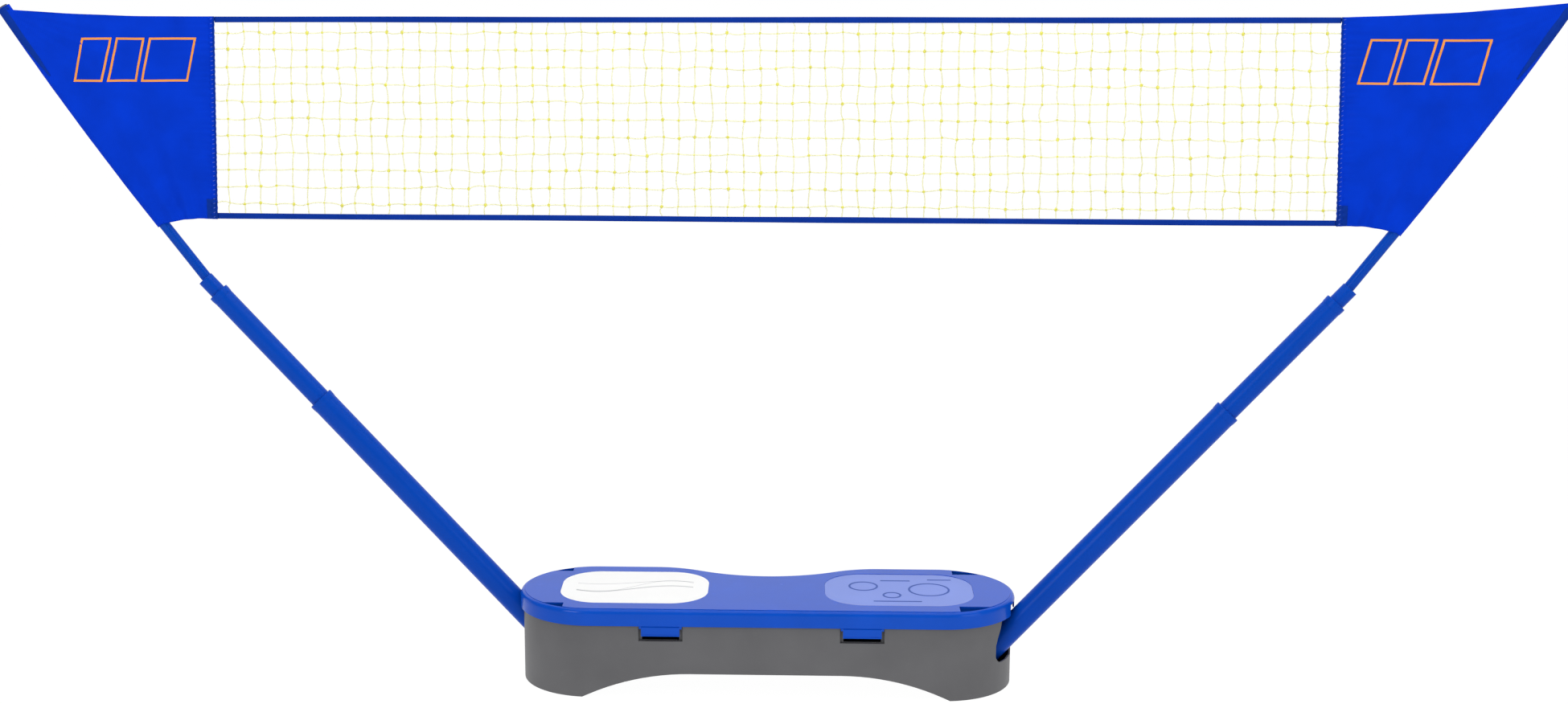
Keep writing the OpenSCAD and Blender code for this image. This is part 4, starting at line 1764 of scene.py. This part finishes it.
    @staticmethod
    def _wander(place: float, waves: Sequence[float], seed: Sequence[float]) -> float:
        """A wave that speeds up and slows down along an edge.

        Args:
            place: the place along the edge, in metres.
            waves: its radians to a metre, how many radians it wanders, and how many
                noise cells it has to a metre.
            seed: where in the noise it wanders.

        Returns:
            The wave, from -1 to 1.
        """
        steep, drift, cells = waves
        wander = noise.noise(Vector((place * cells, *seed)))
        return math.sin(place * steep + drift * wander)

    def _ripple(self, u: float, v: float, x: float, z: float) -> float:
        """How far the cloth stands out of its plane.

        Args:
            u: 0 at the hem and 1 at the sleeve.
            v: 0 at the bottom and 1 at the top.
            x: the place along the net.
            z: the height.

        Returns:
            The distance.
        """
        seed = self._seed(3.7)
        soft = math.sin(math.pi * u)
        across, up = self.fold_turn
        broad = self.fold * soft * math.sin(math.radians(across * u + up * v))
        across, up = self.crumple_cells
        crumple = noise.noise(Vector((x * across, z * up, seed)))
        crumple = self.crumple * soft * crumple
        tip_x, tip_z = self.bow.point(1.0, 0.0)
        away = math.hypot(tip_x - x, tip_z - z)
        turn = math.atan2(tip_z - z, tip_x - x)
        drawn = noise.noise(Vector((turn * self.drawn_cells, seed, 0.4)))
        drawn *= self.drawn * soft * math.exp(-away / self.drawn_reach)
        width, height = self.panel_size
        steep, least = self.gather_start
        gather = self._wander(z, self.gather_waves, (seed, 1.0))
        gather *= (
            self.gather
            * math.exp(-u * width / self.gather_reach)
            * min(1.0, steep * u + least)
        )
        edge = min(v, 1 - v) * height
        pucker = self._wander(x, self.pucker_waves, (seed, 2.0))
        pucker *= self.pucker * math.exp(-edge / self.pucker_reach) * soft
        return broad + crumple + drawn + gather + pucker

    def _panel(self, u: float, v: float) -> Vector:
        """A place of the panel between hem and sleeve.

        Args:
            u: 0 at the hem and 1 at the sleeve.
            v: 0 at the bottom and 1 at the top.

        Returns:
            The place.
        """
        inner, outer = self._edges(v)
        x, z = mix(inner[0], outer[0], u), mix(inner[1], outer[1], u)
        sag = self.sag * math.sin(math.pi * u) * (2 * v - 1)
        front = self.plane.pole_y + self.side.value * (self.sleeve_r - self.sleeve_in)
        y = -mix(self.plane.end_y, front, u)
        return self._world(x, y + self._ripple(u, v, x, z), z - sag)

    def _sleeve(self, u: float, v: float) -> Vector:
        """A place of the sleeve: u round the tube, v from its foot past the tip.

        Args:
            u: 0 to 1 round the tube.
            v: 0 at the sleeve's foot and 1 past the tip.

        Returns:
            The place.
        """
        length = self.bow.sleeved + self.end_gap
        along = v * length
        share = along / self.bow.sleeved
        turn = 2 * math.pi * u
        place = (math.cos(turn), math.sin(turn) + self._seed(5.1))
        loose = noise.noise(Vector((*place, along * self.sleeve_cells)))
        wide = self.sleeve_r + self.sleeve_loose * (loose + self.sleeve_ease)
        across = wide * math.cos(turn)
        out = wide * math.sin(turn)
        x, z = self.bow.point(share, across)
        return self._world(x, -self.plane.pole_y + out, z)

    def _hem_point(self, u: float, v: float) -> Vector:
        """A place of the gathered hem: u round its flat section, v up.

        Args:
            u: 0 to 1 round it.
            v: 0 at the bottom and 1 at the top.

        Returns:
            The place.
        """
        x, z = self._corner(v)
        width = self.plane.hem_w - self.hem_gap
        turn = 2 * math.pi * u
        tuck = self._wander(z, self.tuck_waves, (self._seed(8.3), 0))
        across = squared(turn, self.hem_square)
        out = math.sin(turn) * (self.hem_t / 2) * (1 + self.tuck_swell * tuck)
        out += self.tuck * tuck
        middle = x - self.hem_gap - width / 2
        reach = width / 2 + self.tuck * tuck * (1 if across < 0 else 0)
        return self._world(middle + across * reach, -self.plane.end_y + out, z)

    def _binding_point(self, u: float, v: float) -> Vector:
        """A place of the dark binding along the hem's edge: u round it, v up.

        Args:
            u: 0 to 1 round it.
            v: 0 at the bottom and 1 at the top.

        Returns:
            The place.
        """
        x, z = self._corner(v)
        turn = 2 * math.pi * u
        reach, cells = self.binding_pull
        pull = noise.noise(Vector((z * cells, self._seed(2.9), 0)))
        middle = x - self.plane.hem_w + self.binding_place[0] + reach * pull
        out = self.binding_place[1] + self.binding_r[1] * math.sin(turn)
        y = -self.plane.end_y - self.side.value * out
        return self._world(middle + self.binding_r[0] * math.cos(turn), y, z)

    def _tip_point(self, u: float, v: float) -> Vector:
        """A place of the dark strip of painted shade on the sleeve's front: u across, v
        to the tip.

        Args:
            u: 0 to 1 across it.
            v: 0 at its lower end and 1 at the tip.

        Returns:
            The place.
        """
        least, steep = self.shield_taper
        wide = min(1.0, least + steep * v)
        off = self.shield_axis + wide * mix(*self.shield_off, u)
        x, z = self.bow.point(mix(*self.shield_at, v), off)
        out = math.sqrt((self.sleeve_r + self.shield_lift) ** 2 - off**2)
        return self._world(x, -self.plane.pole_y - self.side.value * out, z)

    def _stitches(self, shop: Workshop, body: str) -> None:
        """A row of slanted stitches beside the binding.

        Args:
            shop: the workshop.
            body: the body that it rides on.
        """
        bm = bmesh.new()
        rng = random.Random(f"stitches{self.side.word}")
        share, ahead = self.stitch_at
        for i in range(self.stitches):
            x, z = self._corner((i + 0.5) / self.stitches)
            place = self._world(
                x - share * self.plane.hem_w,
                -self.plane.end_y - self.side.value * ahead,
                z,
            )
            turn = math.radians(rng.uniform(*self.stitch_turn))
            slant = Matrix.Rotation(turn, 4, "Y")
            length = rng.uniform(*self.stitch_l) * MM
            form = Matrix.Diagonal((length, *self.stitch_t, 1.0))
            bmesh.ops.create_cube(
                bm, size=1.0, matrix=Matrix.Translation(place) @ slant @ form
            )
        stitches = shop.new_object(f"{self.side.word}_stitches", bm)
        shop.settle(stitches, "seam_thread", body)

    def flat_size(self) -> tuple[float, float, float]:
        """The panel's widest cut, its height and its flat area, with the sleeve's.

        Returns:
            The width and the height in metres, and the area in square metres.
        """
        corners = [
            self._corner(0),
            self.bow.point(0.0, 0.0),
            self.bow.point(0.5, 0.0),
            self.bow.point(1.0, 0.0),
            self._corner(1),
        ]
        twice = 0.0
        for a, b in zip(corners, corners[1:] + corners[:1]):
            twice += a[0] * b[1] - a[1] * b[0]
        round_tube = 2 * math.pi * self.sleeve_r
        width = corners[3][0] - corners[4][0] + round_tube
        sleeve = round_tube * (self.bow.sleeved + self.end_gap)
        return width, self.bow.sleeved, abs(twice) / 2 + sleeve

    def build(self, shop: Workshop) -> None:
        """Builds the cloth, its hem and the trim on it.

        Args:
            shop: the workshop.
        """
        word = self.side.word
        top = f"{word}_top"
        bm = bmesh.new()
        cloth_grid(bm, *self.panel_grid, self._panel)
        cloth_grid(bm, *self.sleeve_grid, self._sleeve)
        bmesh.ops.remove_doubles(bm, verts=bm.verts, dist=CLOTH_MERGE)
        piece = shop.new_object(f"{word}_cloth", bm)
        shop.thicken(piece, self.cloth_t)
        nodes = [f"{word}_side_panel", f"{word}_sleeve"]
        shop.settle(piece, "panel_fabric", top, nodes)
        width, length, area = self.flat_size()
        tube = cloth_tube(*self.hem_grid, self._hem_point)
        hem = shop.new_object(f"{word}_hem_strip", tube)
        shop.settle(hem, "panel_fabric", top, [f"{word}_hem"])
        tube = cloth_tube(*self.binding_grid, self._binding_point)
        shop.settle(shop.new_object(f"{word}_binding", tube), "net_tape", top)
        # The dark strip near the tip is painted shade where the cloth folds beside the
        # sleeve.
        bm = bmesh.new()
        cloth_grid(bm, *self.shield_grid, self._tip_point)
        crease_shade = shop.new_object(f"{word}_tip_shield", bm)
        shop.thicken(crease_shade, self.shield_t)
        shop.settle(crease_shade, "net_tape", top)
        self._stitches(shop, top)
        self._patch(shop, top)
        self._trim(shop, top)

    def _patch(self, shop: Workshop, body: str) -> None:
        """A dark patch that strengthens the panel's lower corner.

        Args:
            shop: the workshop.
            body: the body that it rides on.
        """
        low = self._corner(0.0)
        ahead = Vector((0, self.patch_lift, 0))

        def shape(u: float, v: float) -> Vector:
            """A place of the patch on the panel's front.

            Args:
                u: 0 to 1 across it.
                v: 0 at its lower edge and 1 at its upper.

            Returns:
                The place.
            """
            x = low[0] + mix(*self.patch_x, u) * self.plane.hem_w
            z = low[1] + mix(*self.patch_z, v)
            if x > low[0] - 2 * MM:
                return self._on_panel(x, z) - ahead
            return self._world(x, -self.plane.end_y, z) - 4 * ahead

        bm = bmesh.new()
        cloth_grid(bm, *self.patch_grid, shape)
        patch = shop.new_object(f"{self.side.word}_patch", bm)
        shop.thicken(patch, self.patch_t)
        shop.settle(patch, "net_tape", body)

    def _on_panel(self, x: float, z: float) -> Vector:
        """The cloth's surface at a place of the panel's plane.

        Args:
            x: the distance from the net's middle, towards this end.
            z: the height.

        Returns:
            The place.
        """
        v = 0.5
        for _ in range(8):
            inner, outer = self._edges(v)
            here = self._panel((x - inner[0]) / (outer[0] - inner[0]), v)
            v += (z - here.z) / (self.plane.top_z - self.plane.bottom_z)
        return here

    def _outline(self, bm: bmesh.types.BMesh, corners: Sequence[Vector]) -> None:
        """Adds a closed strip of embroidery that follows the cloth.

        Args:
            bm: the bmesh.
            corners: its corners in the panel's plane.
        """
        rims = []
        for i, corner in enumerate(corners):
            into = (corner - corners[i - 1]).normalized()
            out = (corners[(i + 1) % len(corners)] - corner).normalized()
            across = Vector((-into.y - out.y, into.x + out.x)).normalized()
            reach = self.stitch_w / 2 / across.dot(Vector((-into.y, into.x)))
            rims.append((corner - across * reach, corner + across * reach))
        rows = []
        steps = self.trim_steps
        lift = Vector((0, self.trim_lift, 0))
        for (a, b), (c, d) in zip(rims, rims[1:] + rims[:1]):
            for step in range(steps):
                pair = (a.lerp(c, step / steps), b.lerp(d, step / steps))
                places = (self._on_panel(self.side.value * q.x, q.y) for q in pair)
                rows.append([bm.verts.new(p - lift) for p in places])
        for (a, b), (c, d) in zip(rows, rows[1:] + rows[:1]):
            bm.faces.new((a, b, d, c))

    def _trim(self, shop: Workshop, body: str) -> None:
        """Three plain slanted outlines, embroidered on the panel's front.

        Args:
            shop: the workshop.
            body: the body that it rides on.
        """
        bm = bmesh.new()
        low, high = self.trim_z
        left = self.trim_x[0] if self.side is Side.RIGHT else -self.trim_x[1]
        for width in self.trim_widths:
            corners = (
                (left, low),
                (left + width, low),
                (left + width + self.trim_slant, high),
                (left + self.trim_slant, high),
            )
            self._outline(bm, [Vector(c) for c in corners])
            left += width + self.trim_gap
        flat = bm.faces[:]
        raised = bmesh.ops.extrude_face_region(bm, geom=flat)["geom"]
        front = only(bmesh.types.BMVert, raised)
        bmesh.ops.translate(bm, vec=(0, -self.trim_t, 0), verts=front)
        bmesh.ops.recalc_face_normals(bm, faces=bm.faces)
        trim = shop.new_object(f"{self.side.word}_trim", bm)
        shop.settle(trim, "trim_thread", body)


# ---- Net -----------------------------------------------------------------------------


@dataclass(frozen=True)
class Stretch:
    """A part of the net between two columns of knots, at one end of the net."""

    name: str
    first: int
    last: int
    side: Side
    outer: bool


@dataclass
class Net:
    """The knotted mesh and its two tapes, each in four stretches."""

    plane: NetPlane = field(default_factory=NetPlane)
    columns: int = 68
    rows: int = 12
    margin: float = 24 * MM
    end_row: float = 0.57
    string_r: float = 1.15 * MM
    knot_r: float = 3.3 * MM
    slack: float = 1.1 * MM
    slack_at: tuple[float, float] = (0.33, 0.67)
    drift: tuple[float, float, float] = (1.5 * MM, 0.4 * MM, 1.1 * MM)  # x, y and z
    knot_sizes: tuple[float, float] = (0.6, 1.2)
    knot_depth: float = 0.6
    knot_heights: tuple[float, float] = (0.9, 1.3)
    tape_grid: tuple[int, int] = (18, 90)
    tape_round: float = 0.03
    tape_square: float = 0.7
    # The tape's height and half its thickness, each with what its roll adds, the
    # roll's noise cells to a metre, and its wave's height and cells along and up.
    tape_full: tuple[float, float] = (0.94, 0.10)
    tape_t: tuple[float, float] = (1.9 * MM, 0.3)
    tape_roll: float = 3.2
    tape_wave: tuple[float, float, float] = (0.9 * MM, 2.1, 7)
    split: float = 0.60
    seed: int = 41

    def __post_init__(self) -> None:
        """Works out where every knot lies."""
        rng = random.Random(self.seed)
        p = self.plane
        low = p.bottom_z + p.tape_w / 2
        high = p.top_z - p.tape_w / 2
        self.knots: list[list[Vector]] = []
        for i in range(self.columns):
            line = []
            for j in range(self.rows + 1):
                z = mix(low, high, self._row(j))
                share = 2 * i / (self.columns - 1) - 1
                x = share * (p.half(z) - self.margin)
                if 0 < j < self.rows:
                    x += rng.gauss(0, self.drift[0])
                    z += rng.gauss(0, self.drift[2])
                y = p.y(x) + rng.gauss(0, self.drift[1])
                line.append(Vector((x, y, z)))
            self.knots.append(line)

    def _row(self, j: int) -> float:
        """How high a row of knots lies, as a share: the end gaps are short."""
        share = (j - 1 + self.end_row) / (self.rows - 2 + 2 * self.end_row)
        return min(1.0, max(0.0, share))

    def _stretches(self) -> list[Stretch]:
        """The net's four stretches, from left to right.

        Returns:
            The stretches.
        """
        first = min(
            range(self.columns), key=lambda i: abs(self.knots[i][0].x + self.split)
        )
        middle = self.columns // 2
        last = self.columns - 1 - first
        return [
            Stretch("left_outer", 0, first, Side.LEFT, True),
            Stretch("left_inner", first, middle, Side.LEFT, False),
            Stretch("right_inner", middle, last, Side.RIGHT, False),
            Stretch("right_outer", last, self.columns - 1, Side.RIGHT, True),
        ]

    def _own(self, stretch: Stretch) -> range:
        """A stretch's own columns: the next stretch has its last one."""
        at_end = stretch.last == self.columns - 1
        return range(stretch.first, stretch.last + (1 if at_end else 0))

    def _bend(self, piece: bpy.types.Object, stretch: Stretch) -> None:
        """Bakes a piece's placement into its mesh.

        Args:
            piece: the piece.
            stretch: the stretch.
        """
        word, s = stretch.side.word, stretch.side.value
        near, far = (s * self.split, 0, 1), (s * self.plane.top_x, 0, 1)
        if stretch.outer:
            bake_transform(piece)
            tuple(near)
            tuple(far)
        else:
            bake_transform(piece)
            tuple(near)

    def _strings(self, stretch: Stretch) -> list:
        """The centre lines of a stretch's strings.

        Args:
            stretch: the stretch.

        Returns:
            One list of points for each string.
        """
        rng = random.Random(f"{self.seed}{stretch.name}")
        lines = [self._wavy(self.knots[i], rng) for i in self._own(stretch)]
        left = stretch.side is Side.LEFT
        for j in range(1, self.rows):
            columns = range(stretch.first, stretch.last + 1)
            points = [self.knots[i][j] for i in columns]
            if stretch.outer:
                end = points[0] if left else points[-1]
                hem = stretch.side.value * self.plane.half(end.z)
                tied = Vector((hem, self.plane.y(hem), end.z))
                points = [tied, *points] if left else [*points, tied]
            lines.append(self._wavy(points, rng))
        return lines

    def _wavy(self, points: Sequence[Vector], rng: random.Random) -> list:
        """A string through its knots, a little slack between them.

        Args:
            points: the string's knots.
            rng: what its slack is drawn from.

        Returns:
            The string's points.
        """
        line = [points[0]]
        for a, b in zip(points, points[1:]):
            across = (b - a).cross(Vector((0, 1, 0))).normalized()
            bulge = rng.gauss(0, self.slack)
            for share in self.slack_at:
                line.append(a.lerp(b, share) + across * bulge)
            line.append(b)
        return line

    def _mesh(self, stretch: Stretch) -> bpy.types.Object:
        """One stretch of the mesh's strings.

        Args:
            stretch: the stretch.

        Returns:
            The strings.
        """
        curve = bpy.data.curves.new(stretch.name, "CURVE")
        curve.dimensions = "3D"
        curve.bevel_depth = self.string_r
        curve.bevel_resolution = 0
        for line in self._strings(stretch):
            spline = curve.splines.new("POLY")
            spline.points.add(len(line) - 1)
            for point, place in zip(spline.points, line):
                point.co = (*place, 1.0)
        source = add_object(stretch.name, curve)
        bpy.context.view_layer.update()
        graph = bpy.context.evaluated_depsgraph_get()
        mesh = bpy.data.meshes.new_from_object(source.evaluated_get(graph))
        bpy.data.objects.remove(source)
        for face in mesh.polygons:
            face.use_smooth = True
        return add_object(f"mesh_{stretch.name}", mesh)

    def _knots(self, shop: Workshop, stretch: Stretch) -> bpy.types.Object:
        """One stretch's knots, each a little uneven.

        Args:
            shop: the workshop.
            stretch: the stretch.

        Returns:
            The knots.
        """
        bm = bmesh.new()
        rng = random.Random(f"{self.seed}knots{stretch.name}")
        for i in self._own(stretch):
            for j in range(1, self.rows):
                size = self.knot_r * rng.uniform(*self.knot_sizes)
                high = rng.uniform(*self.knot_heights)
                form = Matrix.Diagonal((1.0, self.knot_depth, high, 1.0))
                place = Matrix.Translation(self.knots[i][j])
                bmesh.ops.create_icosphere(
                    bm, subdivisions=1, radius=size, matrix=place @ form
                )
        for face in bm.faces:
            face.smooth = True
        return shop.new_object(f"knots_{stretch.name}", bm)

    def _tape(
        self, shop: Workshop, stretch: Stretch, z: float, word: str
    ) -> bpy.types.Object:
        """One stretch of a folded tape.

        Args:
            shop: the workshop.
            stretch: the stretch.
            z: the height of the tape's middle.
            word: upper or lower.

        Returns:
            The stretch of tape.
        """
        s = stretch.side.value
        if stretch.outer:
            ends = sorted((s * self.split, s * self.plane.half(z)))
        else:
            ends = sorted((0.0, s * self.split))
        full, swell = self.tape_full
        thick, puff = self.tape_t
        lift, along, up = self.tape_wave

        def shape(u: float, v: float) -> Vector:
            """A place of the tape: u round its section, v along.

            Args:
                u: 0 to 1 round it.
                v: 0 to 1 along it.

            Returns:
                The place.
            """
            x = mix(ends[0], ends[1], v)
            turn = 2 * math.pi * u
            roll = noise.noise(Vector((x * self.tape_roll, z, 4.0)))
            high = self.plane.tape_w / 2 * (full + swell * roll)
            out = thick * math.sin(turn) * (1 + puff * roll)
            wave = lift * noise.noise(Vector((x * along, z * up, 9.0)))
            rise = squared(turn, self.tape_square) * high
            return Vector((x, self.plane.y(x) + out, z + rise + wave))

        size = (self.tape_round, ends[1] - ends[0])
        tube = cloth_tube(*self.tape_grid, size, shape, closed=stretch.outer)
        return shop.new_object(f"{word}_tape_{stretch.name}", tube)

    def build(self, shop: Workshop) -> None:
        """Builds every stretch of the mesh and the tapes.

        Args:
            shop: the workshop.
        """
        tapes = (
            ("upper", self.plane.top_z, "top_tape"),
            ("lower", self.plane.bottom_z, "bottom_tape"),
        )
        for stretch in self._stretches():
            pieces = [
                (self._mesh(stretch), "net_cord", "net_mesh"),
                (self._knots(shop, stretch), "knot_cord", "net_mesh"),
            ]
            for word, z, node in tapes:
                tape = self._tape(shop, stretch, z, word)
                pieces.append((tape, "net_tape", node))
            for piece, finish, node in pieces:
                shop.dress(piece, finish)
                self._bend(piece, stretch)
                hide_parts(node)
                log.info("%s: %d faces", piece.name, len(piece.data.polygons))


# ---- Studio --------------------------------------------------------------------------


@dataclass(frozen=True)
class Lamp:
    """One soft square light that points at a height above the origin."""

    name: str
    place: tuple[float, float, float]
    aim: float
    size: float
    watts: float


@dataclass
class Studio:
    """The floor, the lights and the camera."""

    eye: tuple[float, float, float] = (47.4 * MM, -4504 * MM, 1609.9 * MM)
    yaw: float = 2.6
    pitch: float = 12.0
    roll: float = -0.2
    lens: float = 53.17
    shift: tuple[float, float] = (0.0609, 0.0064)
    sensor: float = 36.0
    sight: float = 90.0
    stage_half: float = 40.0
    backdrop_y: float = 20.0
    screen_h: float = 4.0
    floor: tuple[float, float] = (0.05, 0.98)
    world: float = 0.16
    screens: tuple[tuple[str, float], ...] = (
        ("left_screen", 90),
        ("front_screen", 180),
        ("right_screen", 270),
    )
    lamps: tuple[Lamp, ...] = (
        Lamp("top", (0.3, -0.4, 3.6), 0.4, 4.0, 100),
        Lamp("key", (-2.6, -3.6, 2.6), 0.7, 1.6, 54),
        Lamp("fill", (3.4, -3.0, 1.8), 0.7, 2.2, 34),
    )

    def _camera(self) -> None:
        """The camera, aimed by yaw, pitch and roll."""
        data = bpy.data.cameras.new("camera")
        data.lens = self.lens
        data.sensor_width = self.sensor
        data.sensor_fit = "HORIZONTAL"
        data.shift_x, data.shift_y = self.shift
        data.clip_end = self.sight
        camera = add_object("camera", data)
        yaw, pitch, roll = (math.radians(a) for a in (self.yaw, self.pitch, self.roll))
        level = math.cos(pitch)
        ahead = Vector(
            (-math.sin(yaw) * level, math.cos(yaw) * level, -math.sin(pitch))
        )
        right = ahead.cross(Vector((0, 0, 1))).normalized()
        up = right.cross(ahead)
        right, up = (
            right * math.cos(roll) + up * math.sin(roll),
            up * math.cos(roll) - right * math.sin(roll),
        )
        turn = Matrix((right, up, -ahead)).transposed().to_4x4()
        camera.matrix_world = Matrix.Translation(self.eye) @ turn
        bpy.context.scene.camera = camera

    @staticmethod
    def _light(lamp: Lamp) -> None:
        """Hangs one light.

        Args:
            lamp: the light.
        """
        data = bpy.data.lights.new(lamp.name, "AREA")
        data.shape = "SQUARE"
        data.size = lamp.size
        data.energy = lamp.watts
        light = add_object(lamp.name, data)
        light.location = lamp.place
        away = Vector(lamp.place) - Vector((0, 0, lamp.aim))
        light.rotation_euler = away.to_track_quat("Z", "Y").to_euler()

    def _surface(self, name: str, place: Matrix, white: float, glow: float) -> None:
        """One plain surface of the stage.

        Args:
            name: its name.
            place: where it lies.
            white: how much light it throws back.
            glow: how much light it gives off itself.
        """
        bm = bmesh.new()
        bmesh.ops.create_grid(
            bm, x_segments=1, y_segments=1, size=self.stage_half, matrix=place
        )
        mesh = bpy.data.meshes.new(name)
        bm.to_mesh(mesh)
        bm.free()
        surface = add_object(name, mesh)
        graph = Graph(name)
        graph.set(
            Base_Color=(white, white, white),
            Roughness=1.0,
            Specular_IOR_Level=0.0,
            Emission_Color=(1.0, 1.0, 1.0),
            Emission_Strength=glow,
        )
        mesh.materials.append(graph.material)

    def build(self) -> None:
        """Sets the studio up."""
        self._camera()
        self._surface("floor", Matrix.Identity(4), *self.floor)
        upright = Matrix.Rotation(math.pi / 2, 4, "X")
        behind = Matrix.Translation((0, self.backdrop_y, 0)) @ upright
        self._surface("backdrop", behind, 0.0, 1.0)
        low = Matrix.Diagonal((1.0, self.screen_h / self.stage_half, 1.0, 1.0))
        for name, turn in self.screens:
            place = Matrix.Rotation(math.radians(turn), 4, "Z")
            place @= Matrix.Translation((0, self.stage_half, 0)) @ upright @ low
            self._surface(name, place, 0.0, 1.0)
        for lamp in self.lamps:
            self._light(lamp)
        world = bpy.data.worlds.new("world")
        world.use_nodes = True
        background = world.node_tree.nodes["Background"]
        background.inputs["Color"].default_value = (1.0, 1.0, 1.0, 1.0)
        background.inputs["Strength"].default_value = self.world
        bpy.context.scene.world = world
        bpy.context.scene.view_settings.view_transform = "Standard"


def dress_nodes(shop: Workshop) -> None:
    """Gives every solid that still shows the finish of its slot.

    Args:
        shop: the workshop.
    """
    for part in frame["record"]["subparts"]:
        node = frame["nodes"][part["node"]]
        if not node.hide_render:
            node.data.materials.clear()
            node.data.materials.append(shop.materials[part["material_slot"]])
            log.info("%s keeps its own shape", node.name)


def main() -> None:
    """Builds the studio and then the play net, from the case up."""
    logging.basicConfig(level=logging.INFO, format="%(name)s: %(message)s")
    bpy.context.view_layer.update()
    Studio().build()
    shop = Workshop()
    Case().build(shop)
    for side in Side:
        Pole(side).build(shop)
        SideCloth(side).build(shop)
    Net().build(shop)
    dress_nodes(shop)


if __name__ == "__main__":
    main()
